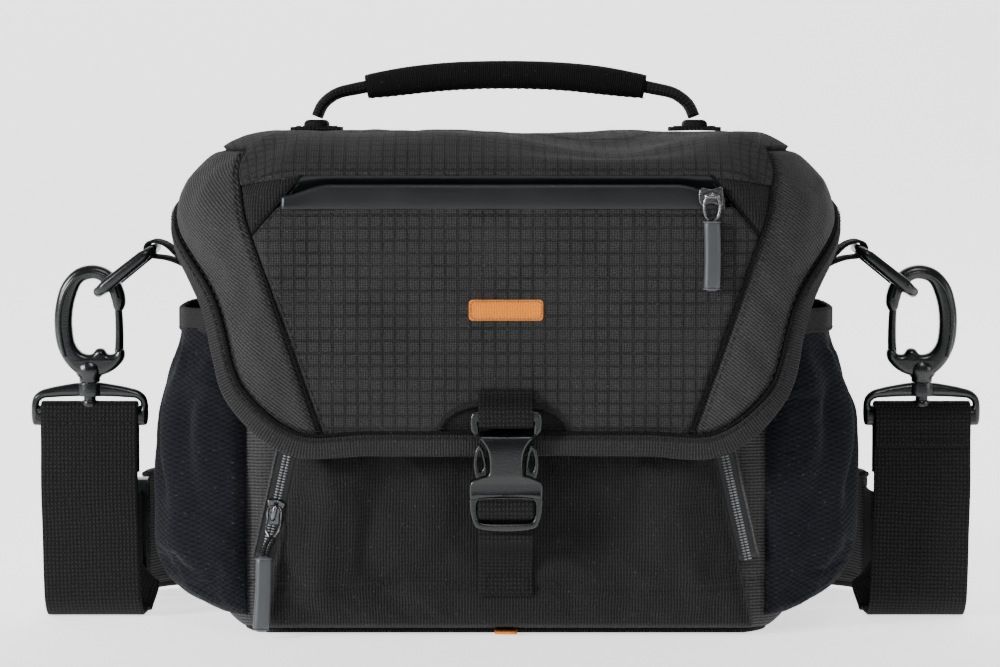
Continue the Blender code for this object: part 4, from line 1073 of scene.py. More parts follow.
# ---------------------------------------------------------------- body
def make_tub():
    """The outer cloth of the front and sides, one sheet, with the rear panel and the base."""
    s = np.linspace(-BODY_SIDE_END, BODY_SIDE_END, 260)
    levels = np.concatenate([np.linspace(0.0024, 0.024, 18), np.linspace(0.024, BODY_TOP, 60)[1:]])
    s, z = np.meshgrid(s, levels)
    base = body_skin(s, z)
    sway = ease(z, 0.02, 0.06) * (1 - ease(z, 0.165, 0.188))
    lift = sway * (0.0010 * lumps(base, 0.06, 51)) + pull_in(z - 0.022, 0.0008, 0.0012)
    lift += pull_in(np.abs(np.abs(s) - 0.112), 0.0008, 0.0014)
    points = body_skin(s, z, lift)
    tub = cloth_grid("tub_cloth", points, np.dstack([s, z]), 0.0024)
    dress(tub, "side_cloth", "bag", ["front_panel", "left_gusset", "right_gusset"])

    half = BODY_HALF - 0.0005
    x, z = np.meshgrid(np.linspace(-half, half, 90), np.linspace(0.0026, BODY_TOP, 64))
    corner = np.clip(0.024 - z, 0, None)
    shrink = 0.024 - np.sqrt(np.maximum(0.024 ** 2 - corner ** 2, 1e-9))
    x = x * (BODY_HALF - shrink) / BODY_HALF
    y = BODY_REAR + 0.0028 + 0.0004 * lumps(np.dstack([x, 0 * x, z]), 0.05, 52)
    rear = cloth_grid("rear_cloth", np.dstack([x, y, z]), np.dstack([x, z]), 0.0026)
    dress(rear, "body_cloth", "bag", ["rear_panel"])

    low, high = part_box("base_panel")
    u, v = np.meshgrid(np.linspace(-1, 1, 60), np.linspace(-1, 1, 40))
    round_x = np.where(v < -0.6, 1 - 0.10 * ((-v - 0.6) / 0.4) ** 3, 1.0)
    x, y = u * high.x * round_x, (low.y + high.y) / 2 + v * (high.y - low.y) / 2
    base = cloth_grid("base_cloth", np.dstack([x, y, low.z + 0.0002 + 0 * x]), np.dstack([x, y]), 0.0018)
    dress(base, "body_cloth", "bag", ["base_panel"])


def make_top_edge():
    """The bound rim of the tub, with its stitches."""
    s = np.linspace(-BODY_SIDE_END, BODY_SIDE_END, 200)
    path = body_skin(s, np.full(200, BODY_TOP - 0.0042), -0.0012)
    out = skin_normal(body_skin, s, np.full(200, 0.15))
    dress(sweep("rim_tape", path, out, rounded(0.0085, 0.0046, 6, 5)), "binding", "bag")
    seam, out = on_skin(body_skin, s, np.full(200, BODY_TOP - 0.0062), 0.0011)
    dress(stitches("rim_stitches", seam, out), "thread", "bag")
    low_s = np.linspace(0.100, 0.240, 110)
    rows = [stitches(f"low_{sign + 1}", *on_skin(body_skin, sign * low_s, np.full(110, 0.0240), 0.0002))
            for sign in (-1, 1)]
    dress(joined("base_seam_stitches", rows), "thread", "bag")


ZIP_LEG = ((0.040, 0.1047), (0.160, 0.0775))  # height and distance from the middle


def zip_x(z):
    (z0, x0), (z1, x1) = ZIP_LEG
    return x0 + (x1 - x0) * (np.asarray(z) - z0) / (z1 - z0)


def make_front_pocket():
    """The slack pouch on the front, fuller beside its zips and flat under the buckle's tab."""
    levels = np.linspace(0.0046, 0.1662, 118)
    half = zip_x(levels) - 0.0040
    share = np.linspace(-1, 1, 150)
    x, z = share[None] * half[:, None], np.repeat(levels[:, None], 150, axis=1)
    side = (1 - np.abs(share))[None] * half[:, None]
    edge = np.minimum(side, 0.1662 - z)
    rise = np.sqrt(np.clip(1 - (1 - np.clip(edge / 0.011, 0, 1)) ** 2.4, 0, 1))
    foot = np.sqrt(np.clip(1 - (1 - np.clip((z - 0.0040) / 0.009, 0, 1)) ** 2, 0, 1))
    depth = (BODY_FRONT - 0.0028 - POCKET_FACE) * rise * (0.35 + 0.65 * foot)
    free = 1 - ease(z, 0.070, 0.088)
    slack = free * ease(side, 0.0, 0.018) * ease(np.abs(x), 0.016, 0.034) * ease(z, 0.010, 0.030)
    fold_a = np.exp(-((side - 0.012 - 0.16 * (0.09 - z)) / 0.0075) ** 2)
    fold_b = np.exp(-((side - 0.034 - 0.30 * (0.09 - z)) / 0.0080) ** 2)
    depth = depth + slack * (0.0034 * fold_a - 0.0018 * fold_b + 0.0012)
    point = np.dstack([x, 0 * x, z])
    depth = depth + slack * 0.0010 * lumps(point * (1, 1, 0.3), 0.022, 61)
    depth = depth + ease(edge, 0.002, 0.02) * ease(np.abs(x), 0.014, 0.03) * 0.0006 * lumps(point, 0.03, 62)
    depth = depth - 0.0009 * np.exp(-((z - 0.0225) / 0.0012) ** 2)
    y = BODY_FRONT - 0.0028 - depth
    pouch = cloth_grid("front_pouch", np.dstack([x, y, z]), np.dstack([x, z]), 0.0014)
    held = np.exp(-(np.minimum(edge, z - 0.004) / 0.003) ** 2)
    held = np.maximum(held, 1 - ease(np.abs(x), 0.014, 0.022))
    held = np.maximum(held, 0.85 * ease(z, 0.080, 0.095))
    settle(pouch, held, pressure=0.6, grow=0.020, cap=0.0022, frames=14)
    dress(pouch, "body_cloth", "bag", ["front_pocket"])

    across = np.linspace(-0.100, 0.100, 150)
    y = np.full(150, POCKET_FACE - 0.0004)
    y[np.abs(across) < 0.0135] = POCKET_FACE + 0.002
    path = np.stack([across, y, np.full(150, 0.0246)], axis=1)
    dress(stitches("pocket_stitches", path, (0, -1, 0)), "thread", "bag")


def make_front_zip():
    """Zip tape, teeth and a turned-back flap along both legs and the top of the front pocket."""
    half = [(-zip_x(z), z) for z in np.linspace(0.034, 0.160, 8)]
    half += [(-0.0765, 0.1680), (-0.0735, 0.1712), (-0.0680, 0.1722)]
    line = smooth_path([(x, z) for x, z in half] + [(-x, z) for x, z in reversed(half)], 6)
    path = np.stack([line[:, 0], np.full(len(line), BODY_FRONT - 0.0030), line[:, 1]], axis=1)
    path = resample(path, 0.0022)
    front = np.array([0.0, -1.0, 0.0])
    dress(sweep("front_zip_tape", path, front, rounded(0.0098, 0.0014, 7, 3)), "zip_tape", "bag",
          ["front_zip"])
    along = unit(np.gradient(path, axis=0))
    across = np.cross(along, front)
    rim = path - across * 0.0049 + front * 0.0006
    dress(sweep("front_zip_lip", rim, front, rounded(0.0016, 0.0016, 3, 3)), "side_cloth", "bag")
    fine = resample(path, 0.00125)
    side = np.cross(unit(np.gradient(fine, axis=0)), front)
    rows = []
    for name, sign in (("inner", -1), ("outer", 1)):
        start = fine + front * 0.0010 + side * (sign * 0.0001)
        rows.append(capsules(f"teeth_{name}", start, start + side * (sign * 0.0017),
                             np.broadcast_to(front, fine.shape), 0.00042, 0.0003))
    dress(joined("front_zip_teeth", rows), "teeth", "bag")


def pouch_depth(s, z):
    """How far a stretch pocket stands off the gusset."""
    across = (np.abs(s) - 0.1725) / 0.0580
    profile = np.clip(1.0 - np.abs(across) ** 3.2, 0.0, 1.0) ** 0.75
    table = ((0.008, 0.0), (0.013, 0.008), (0.029, 0.0205), (0.060, 0.0245), (0.085, 0.0247),
             (0.105, 0.0215), (0.130, 0.0135), (0.143, 0.0125))
    return 0.0012 + read(table, z) * profile


def make_side_pockets():
    """Stretch mesh pouches, gathered under an elastic band and creased where they are full."""
    for name, sign in (("left", -1), ("right", 1)):
        s, z = np.meshgrid(np.linspace(0.1140, 0.2310, 130), np.linspace(0.0085, 0.1345, 120))
        middle = np.clip(1.0 - np.abs((s - 0.1725) / 0.058) ** 3, 0.0, 1.0)
        wander = 0.004 * lumps(np.dstack([s, 0 * s, z]), 0.06, 71 + sign)
        gathers = np.cos(TAU * (s + wander + 0.06 * (z - 0.13)) / 0.0125) * ease(z, 0.085, 0.120)
        gathers = gathers * (1 - 0.75 * ease(z, 0.122, 0.132))
        gathers = gathers * (0.0014 + 0.0006 * lumps(np.dstack([s, 0 * s, 0 * z]), 0.02, 72))
        folds = np.zeros_like(s)
        for at, lean, width, deep, low, high in (
            (0.1290, 0.12, 0.0042, 0.0088, 0.012, 0.122), (0.1420, 0.26, 0.0042, 0.0060, 0.045, 0.134),
            (0.1185, 0.05, 0.0028, 0.0036, 0.030, 0.110), (0.1560, 0.10, 0.0050, 0.0060, 0.020, 0.100),
            (0.1720, -0.10, 0.0060, 0.0056, 0.03, 0.125), (0.1980, -0.16, 0.0060, 0.0060, 0.02, 0.125),
            (0.2130, -0.20, 0.0045, 0.0040, 0.03, 0.120),
        ):
            ridge = np.exp(-((s - at - lean * (z - 0.07)) / width) ** 2)
            folds -= deep * ridge * ease(z, low, low + 0.025) * (1 - ease(z, high - 0.03, high))
        depth = pouch_depth(s, z) + middle * (gathers + folds)
        depth = depth + middle * 0.0012 * lumps(np.dstack([s, 0 * s, z]), 0.04, 73 + sign)
        points = body_skin(sign * s, z, np.maximum(depth, 0.0010))
        pouch = cloth_grid(f"side_pouch_{name}", points, np.dstack([sign * s, z]), 0.0009)
        edge = np.minimum(np.minimum(s - 0.114, 0.231 - s), np.minimum(z - 0.0085, 0.1345 - z))
        held = np.maximum(np.exp(-(edge / 0.002) ** 2), ease(z, 0.124, 0.131))
        settle(pouch, held, pressure=0.5, grow=0.030, cap=0.0030, frames=14)
        dress(pouch, "stretch_mesh", "bag", [f"{name}_pocket"])

        s = np.linspace(0.1135, 0.2315, 120)
        puff = 0.0004 * np.cos(TAU * s / 0.0125)
        path = body_skin(sign * s, np.full(120, 0.1378), pouch_depth(s, np.full(120, 0.1378)) + puff)
        out = skin_normal(body_skin, sign * s, np.full(120, 0.1378))
        band = sweep(f"pouch_band_{name}", path, out, rounded(0.0112, 0.0024, 9, 4))
        dress(band, "binding", "bag", [f"{name}_pocket_band"])
        row = path + out * 0.0012 - np.array([0, 0, 0.0040])
        dress(stitches(f"pouch_stitches_{name}", row, out, 0.0022, 0.0012), "thread", "bag")


def rounded_loop(half, front, rear, corner, rear_corner, count=18):
    """A rounded rectangle in plan, counter-clockwise from the front middle."""
    points = []
    for cx, cy, r, start in ((half, front, corner, -90), (half, rear, rear_corner, 0),
                             (-half, rear, rear_corner, 90), (-half, front, corner, 180)):
        ox = cx - math.copysign(r, cx)
        oy = cy + r if start in (-90, 180) else cy - r
        for a in np.radians(np.linspace(start, start + 90, count)):
            points.append((ox + r * math.cos(a), oy + r * math.sin(a)))
    ring = np.array(points + points[:1])
    return resample(ring, 0.004)[:-1]


def make_interior():
    """Padded walls with a rolled top, the padded floor and two loose dividers."""
    ring = rounded_loop(0.1272, -0.0562, 0.0772, 0.0265, 0.006)
    ahead, behind = np.roll(ring, -1, axis=0), np.roll(ring, 1, axis=0)
    step = unit(ahead - behind)
    normal = np.stack([step[:, 1], -step[:, 0]], axis=1)
    profile = [(0.0, 0.0182), (0.0, 0.100), (0.0, 0.1810), (-0.0012, 0.1845), (-0.0040, 0.1862),
               (-0.0070, 0.1845), (-0.0084, 0.1810), (-0.0092, 0.165), (-0.0096, 0.130), (-0.0096, 0.090),
               (-0.0092, 0.050), (-0.0084, 0.0300), (-0.0090, 0.0215), (-0.0125, 0.0184)]
    profile = smooth_path(profile, 3)
    rows = []
    for out, z in profile:
        rows.append(np.column_stack([ring + normal * out, np.full(len(ring), z)]))
    for scale in (0.9, 0.7, 0.4, 0.02):
        inner = rows[len(profile) - 1]
        rows.append(np.column_stack([inner[:, 0] * scale, 0.010 + (inner[:, 1] - 0.010) * scale,
                                     np.full(len(ring), 0.0180)]))
    points = np.array(rows)
    around = lengths(np.vstack([ring, ring[:1]]))[:-1]
    down = lengths(np.array([(r[0, 1], r[0, 2]) for r in rows]))
    cloth = np.dstack([np.broadcast_to(around, points.shape[:2]), np.repeat(down[:, None], len(ring), axis=1),
                       np.zeros(points.shape[:2])])
    walls = mesh_object("padded_walls", points.reshape(-1, 3),
                        loft_faces(len(rows), len(ring), around=True), cloth.reshape(-1, 3))
    walls.data.flip_normals()
    thicken(walls, 0.0008)
    dress(walls, "lining", "bag", ["foam_front", "foam_left", "foam_right", "foam_rear", "foam_base"])
    for name in ("left", "right"):
        middle, size = middle_of(f"divider_{name}"), size_of(f"divider_{name}")
        outline = rounded_corners(size.y / 2 - 0.0012, size.z / 2 - 0.0003, 0.008, 6)
        pad = plate(f"divider_pad_{name}", outline, [], size.x, 0.0030, middle, on="yz")
        lay_flat(pad.data, points_of(pad)[:, [1, 2, 0]] * (1, 1, 0))
        dress(pad, "lining", "bag", [f"divider_{name}"])
        ring = np.array([(middle[0], middle[1] + y, middle[2] + z) for y, z in outline + outline[:1]])
        dress(sweep(f"divider_tape_{name}", resample(ring, 0.004)[:-1], (1, 0, 0),
                    rounded(0.0070, 0.0016, 5, 3), closed=True), "binding", "bag")


def make_back():
    """The quilted back pad, the hinge cloth, and the rain cover's orange tab."""
    low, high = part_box("back_pad")
    x, z = np.meshgrid(np.linspace(low.x, high.x, 120), np.linspace(low.z, high.z, 88))
    u = np.abs(2 * (x - low.x) / (high.x - low.x) - 1)
    v = np.abs(2 * (z - low.z) / (high.z - low.z) - 1)
    body = (1 - u ** 14) ** 0.5 * (1 - v ** 12) ** 0.5
    channel = sum(np.exp(-((z - at) / 0.0022) ** 2) for at in (0.059, 0.098, 0.137))
    side = np.exp(-((np.abs(x) - 0.060) / 0.0022) ** 2)
    depth = 0.0066 * body * (1 - 0.62 * np.clip(channel + side, 0, 1))
    points = np.dstack([x, low.y + depth, z])
    points[..., 1] += 0.0003 * body * lumps(points, 0.03, 81)
    pad = cloth_grid("back_cushion", points, np.dstack([x, z]), 0.0010)
    held = np.maximum(np.exp(-((1 - np.maximum(u, v)) / 0.03) ** 2), np.clip(channel + side, 0, 1))
    settle(pad, held, pressure=1.2, cap=0.0010, frames=12)
    dress(pad, "stretch_mesh", "bag", ["back_pad"])
    ring = rounded_loop(high.x, low.z, high.z, 0.006, 0.006, 6)
    path = np.stack([ring[:, 0], np.full(len(ring), low.y + 0.0010), ring[:, 1]], axis=1)
    dress(sweep("back_cushion_tape", path, (0, 1, 0), rounded(0.0050, 0.0022, 5, 3), closed=True), "binding",
          "bag")

    x, z = np.meshgrid(np.linspace(-0.1300, 0.1300, 96), np.linspace(0.1835, 0.2050, 26))
    y = 0.0822 - 0.0006 * ease(z, 0.188, 0.205) + 0.0002 * lumps(np.dstack([x, 0 * x, z]), 0.02, 82)
    hinge = cloth_grid("hinge_cloth", np.dstack([x, y, z]), np.dstack([x, z]), 0.0012)
    dress(hinge, "body_cloth", None, ["hinge_strip"])
    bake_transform(hinge)
    for level, body in ((0.1855, "bag"), (0.2030, "lid")):
        path = np.stack([np.linspace(-0.127, 0.127, 100), np.full(100, 0.0824), np.full(100, level)], axis=1)
        dress(stitches(f"hinge_stitches_{body}", path, (0, 1, 0)), "thread", body)

    low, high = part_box("rain_cover_tab")
    y = np.linspace(low.y, high.y, 12)
    path = np.stack([0 * y, y, (low.z + high.z) / 2 + 0.0002 + 0 * y], axis=1)
    dress(sweep("rain_tab", path, (0, 0, 1), rounded(high.x - low.x, 0.0011, 5, 3)), "accent", "bag",
          ["rain_cover_tab"])


# ---------------------------------------------------------------- handle
def make_handle():
    """A padded grip round folded webbing, and the two sewn feet."""
    foot_x, foot_y, _ = middle_of("handle_foot_right")
    pivot = joint("handle_swing")["pos_m"][2]
    rise = [(foot_x - 0.0002, 0.0012), (0.0856, 0.0062), (0.0800, 0.0112), (0.0690, 0.0143), (0.0550, 0.0166),
            (0.0300, 0.0196), (0.0, 0.0207)]
    half = [(x, foot_y, pivot + z) for x, z in rise]
    line = smooth_path(half + [(-x, y, z) for x, y, z in reversed(half[:-1])], 12)
    line = resample(line, 0.0022)
    reach = np.abs(line[:, 0])
    flat = np.stack([1.0 + 1.0 * ease(reach, 0.064, 0.086), 1.0 - 0.10 * ease(reach, 0.066, 0.084)], axis=1)
    out = np.cross(unit(np.gradient(line, axis=0)), (0.0, 1.0, 0.0))
    core = sweep("handle_core", line, out, rounded(0.0096, 0.0058, 8, 6), scale=flat)
    dress(core, "webbing", None, ["handle_webbing"])
    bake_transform(core)
    grip_line = line[reach < 0.0665]
    reach = np.abs(grip_line[:, 0])
    size = 0.80 + 0.20 * np.sqrt(np.clip(1 - (reach / 0.0672) ** 10, 0, 1))
    size = size * (1 + 0.02 * lumps(grip_line, 0.02, 91)) * (1 - 0.10 * ease(reach, 0.040, 0.066))
    grip = sweep("handle_pad", grip_line, (0, -1, 0), circle(0.0066, 32), scale=size)
    dress(grip, "grip_cloth", "handle", ["handle_grip"])
    seam = grip_line - np.array([0, 0, 1.0]) * (0.0064 * size)[:, None]
    dress(stitches("handle_stitches", seam, (0, 0, -1)), "thread", "handle")
    for name, sign in (("left", -1), ("right", 1)):
        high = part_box(f"handle_foot_{name}")[1]
        middle = np.array(middle_of(f"handle_foot_{name}")) * (1, 0, 1) + (0, foot_y, 0)
        path = middle + np.linspace(-1, 1, 16)[:, None] * np.array([0.0118, 0, 0])
        path[:, 2] += 0.0002 * np.cos(np.linspace(-2, 2, 16))
        dress(sweep(f"foot_patch_{name}", path, (0, 0, 1), rounded(0.0230, 0.0019, 9, 3)), "webbing", "lid",
              [f"handle_foot_{name}"])
        box_line = np.array([(-1, -1), (1, -1), (1, 1), (-1, 1), (-1, -1), (1, 1), (1, -1), (-1, 1)]) * 0.0092
        path = np.column_stack([middle[0] + box_line[:, 0], foot_y + box_line[:, 1],
                                np.full(8, high.z + 0.0001)])
        dress(stitches(f"foot_stitches_{name}", resample(path, 0.0008), (0, 0, 1), 0.0021, 0.0009), "thread",
              "lid")
        neck = np.array([(sign * foot_x, foot_y + y, high.z + 0.0010)
                         for y in np.linspace(-0.0108, 0.0108, 14)])
        dress(sweep(f"handle_neck_{name}", neck, (0, 0, 1), rounded(0.0110, 0.0046, 5, 5)), "webbing", "lid")


# ---------------------------------------------------------------- zip sliders
def make_sliders():
    """Both sliders: a waisted metal body, a bridge, and a pull of wire, cord and tube."""
    x, _, z = middle_of("lid_zip_slider")
    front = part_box("lid_zip_slider")[1].y
    body = soft_outline(mirrored([(0.0036, -0.0044), (0.0036, -0.0044), (0.0030, 0.0), (0.0040, 0.0046),
                                  (0.0020, 0.0050)]), 4)
    body = [(b, a) for a, b in body]
    parts = [plate("slider_base", body, [], 0.0014, 0.0004, (x, front - 0.0008, z)),
             plate("slider_top", body, [], 0.0014, 0.0004, (x, front - 0.0027, z))]
    face = front - 0.0033
    bridge = [(x - 0.0034, face, z), (x - 0.0026, face - 0.0026, z), (x, face - 0.0032, z),
              (x + 0.0026, face - 0.0026, z), (x + 0.0034, face, z)]
    parts.append(wire("slider_bridge", bridge, 0.0008, (0, 0, 1), flat=1.3))
    parts.append(plate("slider_spine", soft_outline(mirrored([(0.0012, -0.002), (0.0012, 0.002)]), 4), [],
                       0.0028, 0.0003, (x - 0.0030, front - 0.0018, z)))
    dress(smooth_parts(joined("lid_slider_body", parts)), "dark_metal", "lid_slider", ["lid_zip_slider"])
    bar = np.array([x, face - 0.0024, z])
    loop = [bar + (0.0034 * math.sin(a), -0.0006, -0.0046 + 0.0058 * math.cos(a))
            for a in np.arange(10) * TAU / 10]
    make_pull("lid_zip", loop, bar + (0, -0.0004, -0.0100), bar + (0, -0.0002, -0.0405), "lid_pull")

    slide, pivot = joint("front_zip_slide")["axis"], joint("front_pull_swing")["pos_m"]
    x, z, front = -float(zip_x(0.055)), 0.055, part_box("front_zip_slider")[1].y
    body = soft_outline(mirrored([(0.0028, -0.0050), (0.0028, -0.0050), (0.0024, 0.0), (0.0038, 0.0044),
                                  (0.0020, 0.0050)]), 4)
    lean = math.atan2(slide[0], slide[2])
    body = [(a * math.cos(lean) + b * math.sin(lean), b * math.cos(lean) - a * math.sin(lean))
            for a, b in body]
    parts = [plate("slider_base", body, [], 0.0013, 0.0004, (x, front - 0.0008, z)),
             plate("slider_top", body, [], 0.0013, 0.0004, (x, front - 0.0027, z))]
    face = front - 0.0033
    up = np.array(slide)
    line = [np.array([x, face, z]) + up * a + np.array([0, -b, 0]) for a, b in
            ((-0.0036, 0), (-0.0028, 0.0026), (0.0, 0.0032), (0.0028, 0.0026), (0.0036, 0.0))]
    parts.append(wire("slider_bridge", line, 0.0008, (1, 0, 0), flat=1.3))
    dress(smooth_parts(joined("front_slider_body", parts)), "dark_metal", "front_slider",
          ["front_zip_slider"])
    bar = np.array(pivot)
    loop = [bar + p for p in ((0.0022, 0.0004, 0.0006), (0.0030, -0.0018, -0.0040),
                              (0.0014, -0.0052, -0.0098), (-0.0010, -0.0060, -0.0118),
                              (-0.0030, -0.0048, -0.0096), (-0.0030, -0.0016, -0.0040),
                              (-0.0022, 0.0004, 0.0006))]
    make_pull("front_zip", loop, bar + (-0.0040, -0.0090, -0.0195), bar + (-0.0056, -0.0100, -0.0525),
              "front_pull")


def make_pull(name, loop, top, end, body):
    """A wire loop, a twisted cord through it, and a pressed tube grip with open ends."""
    ring = wire(f"{name}_wire", loop, 0.00062, (0, -1, 0), closed=True, each=8)
    dress(ring, "dark_metal", body, [f"{name}_pull"])
    loop, top, end = np.array(loop), np.array(top), np.array(end)
    low = loop[np.argmin(loop[:, 2])]
    turns = []
    for sign in (-1, 1):
        strand = [low + (0, 0.0006 * sign, 0.0008), low + (0.0012 * sign, -0.0004, -0.0012),
                  (low + top) / 2 + (0.0011 * sign, 0, 0), top + (0.0009 * sign, 0, -0.0020)]
        turns.append(wire(f"{name}_strand_{sign + 1}", strand, 0.00085, sides=10))
    dress(smooth_parts(joined(f"{name}_cord", turns)), "webbing", body)
    t = np.linspace(0, 1, 26)
    path = top + (end - top) * t[:, None]
    path[:, 0] += 0.00035 * np.sin(t * 3.1)
    ends = np.sqrt(np.clip(1 - np.abs(2 * t - 1) ** 26, 0.25, 1))
    angle = np.arange(28) * TAU / 28
    groove = 1 - 0.16 * np.exp(-((np.abs(np.sin(angle)) - 1) / 0.10) ** 2)
    section = np.stack([0.0036 * np.cos(angle), 0.0023 * np.sin(angle) * groove], axis=1)
    tube = sweep(f"{name}_grip", path, (0.0, -1.0, 0.0), section, scale=ends)
    dress(tube, "rubber", body)
    for share in (0.03, 0.97):
        at = top + (end - top) * share
        lip = [at + (0.0036 * math.cos(a), -0.0022 * math.sin(a), 0.0) for a in np.arange(16) * TAU / 16]
        dress(wire(f"{name}_grip_lip_{int(share * 100)}", lip, 0.0003, (0, 0, 1), closed=True, each=3,
                   sides=8),
              "rubber", body)


# ---------------------------------------------------------------- buckle
def crown_plate(obj, rise, half_x, low_z, high_z):
    """Bulges a moulded plate's front face."""
    co = points_of(obj)
    x = co[:, 0] / half_x
    z = (2 * co[:, 2] - low_z - high_z) / (high_z - low_z)
    bulge = rise * np.clip(1 - x ** 2, 0, 1) * np.clip(1 - z ** 4, 0, 1)
    co[:, 1] -= np.where(co[:, 1] < BUCKLE_Y, bulge, 0.0)
    set_points(obj.data, co)
    obj.data.update()


def make_buckle():
    """The side-release buckle: socket with a narrow waist, prongs that show beside it, and webbing."""
    thick = 2 * BUCKLE_HALF_THICK
    centre = (0.0, BUCKLE_Y, 0.0)
    half = [(0.0, 0.0645), (0.0080, 0.0641), (0.0154, 0.0634), (0.0156, 0.0640), (0.0157, 0.0700),
            (0.0152, 0.0712), (0.0105, 0.0735), (0.0076, 0.0745), (0.0072, 0.0762), (0.0071, 0.0800),
            (0.0078, 0.0840), (0.0098, 0.0878), (0.0128, 0.0908), (0.0150, 0.0930), (0.0153, 0.0950),
            (0.0153, 0.0990), (0.0143, 0.1012), (0.0125, 0.1017)]
    outline = smooth_path(mirrored(half)[:-1], 3, closed=True)
    hole = smooth_path(mirrored([(0.0116, 0.0912), (0.0118, 0.0916), (0.0118, 0.0966), (0.0116, 0.0969)]), 2,
                       closed=True)
    socket = plate("buckle_socket", outline, [hole], thick - 0.0008, 0.0011, centre)
    crown_plate(socket, 0.0014, 0.016, 0.0634, 0.0920)
    dress(socket, "black_plastic", "lid", ["buckle_female"])

    base = [(0.0, 0.0497), (0.0060, 0.0499), (0.0105, 0.0505), (0.0132, 0.0516), (0.0142, 0.0535),
            (0.0154, 0.0580), (0.0157, 0.0615), (0.0156, 0.0645), (0.0100, 0.0650), (0.0, 0.0650)]
    slot = smooth_path(mirrored([(0.0040, 0.0531), (0.0090, 0.0533), (0.0112, 0.0539), (0.0120, 0.0550),
                                 (0.0122, 0.0620), (0.0118, 0.0628)]), 3, closed=True)
    outline = smooth_path(mirrored(base[1:-1]), 4, closed=True)
    parts = [plate("male_base", outline, [slot], thick - 0.0014, 0.0010, (0.0, BUCKLE_Y + 0.0004, 0.0))]
    for sign in (-1, 1):
        prong = [(0.0104, 0.0615), (0.0116, 0.0700), (0.0132, 0.0735), (0.0139, 0.0775), (0.0137, 0.0820),
                 (0.0126, 0.0858), (0.0112, 0.0872), (0.0098, 0.0850), (0.0086, 0.0800), (0.0080, 0.0740),
                 (0.0078, 0.0615)]
        leaf = smooth_path([(sign * x, z) for x, z in prong], 4, closed=True)
        window = [(0.0112, 0.0752), (0.0123, 0.0785), (0.0120, 0.0822), (0.0112, 0.0845), (0.0102, 0.0815),
                  (0.0098, 0.0768)]
        window = smooth_path([(sign * x, z) for x, z in window], 4, closed=True)
        parts.append(plate(f"prong_{sign + 1}", leaf, [window], 0.0040, 0.0007, centre))
    dress(smooth_parts(joined("buckle_prongs", parts)), "black_plastic", "bag", ["buckle_male"])

    width = size_of("buckle_tab").x - 0.0010
    rear, front = BUCKLE_Y + 0.0036, BUCKLE_Y - 0.0030
    loop = [(rear + 0.0034, 0.1095), (rear + 0.0018, 0.1062), (rear, 0.1030), (rear, 0.0990),
            (rear - 0.0006, 0.0960), (BUCKLE_Y, 0.0946), (front - 0.0004, 0.0962), (front - 0.0009, 0.0990),
            (front - 0.0006, 0.1018), (front + 0.0018, 0.1044), (rear - 0.0010, 0.1070),
            (rear + 0.0014, 0.1100)]
    ribbon("buckle_strap", loop, width, "lid", ["buckle_loop"])
    path = [(x, BUCKLE_Y - 0.0040, 0.0996) for x in np.linspace(-0.0108, 0.0108, 20)]
    dress(stitches("buckle_strap_stitches", np.array(path), (0, -1, 0), 0.0018, 0.0007), "thread", "lid")
    face = POCKET_FACE - 0.0013
    tab = [(face, 0.0190), (face, 0.0300), (-0.0780, 0.0385), (rear - 0.0006, 0.0465), (rear, 0.0520),
           (BUCKLE_Y + 0.0016, 0.0546), (front + 0.0012, 0.0560), (front - 0.0002, 0.0580),
           (front - 0.0002, 0.0612), (front + 0.0016, 0.0630), (BUCKLE_Y + 0.0014, 0.0628), (rear, 0.0605)]
    ribbon("buckle_tab_web", tab, width, "bag", ["buckle_tab"])
    box_line = np.array([(-1, -1), (1, -1), (1, 1), (-1, 1), (-1, -1)])
    path = np.column_stack([box_line[:, 0] * 0.0092, np.full(5, face - 0.0009),
                            0.0242 + box_line[:, 1] * 0.0036])
    dress(stitches("buckle_tab_stitches", resample(path, 0.0008), (0, -1, 0), 0.0020, 0.0008), "thread",
          "bag")


def ribbon(name, yz_line, width, body, stands_for):
    """Webbing whose width lies along X, on a smooth line of (y, z) points."""
    path = np.array([(0.0, y, z) for y, z in smooth_path(yz_line, 6)])
    out = np.cross(unit(np.gradient(path, axis=0)), (1.0, 0.0, 0.0))
    dress(sweep(name, path, out, rounded(width, WEBBING, 15, 3)), "webbing", body, stands_for)


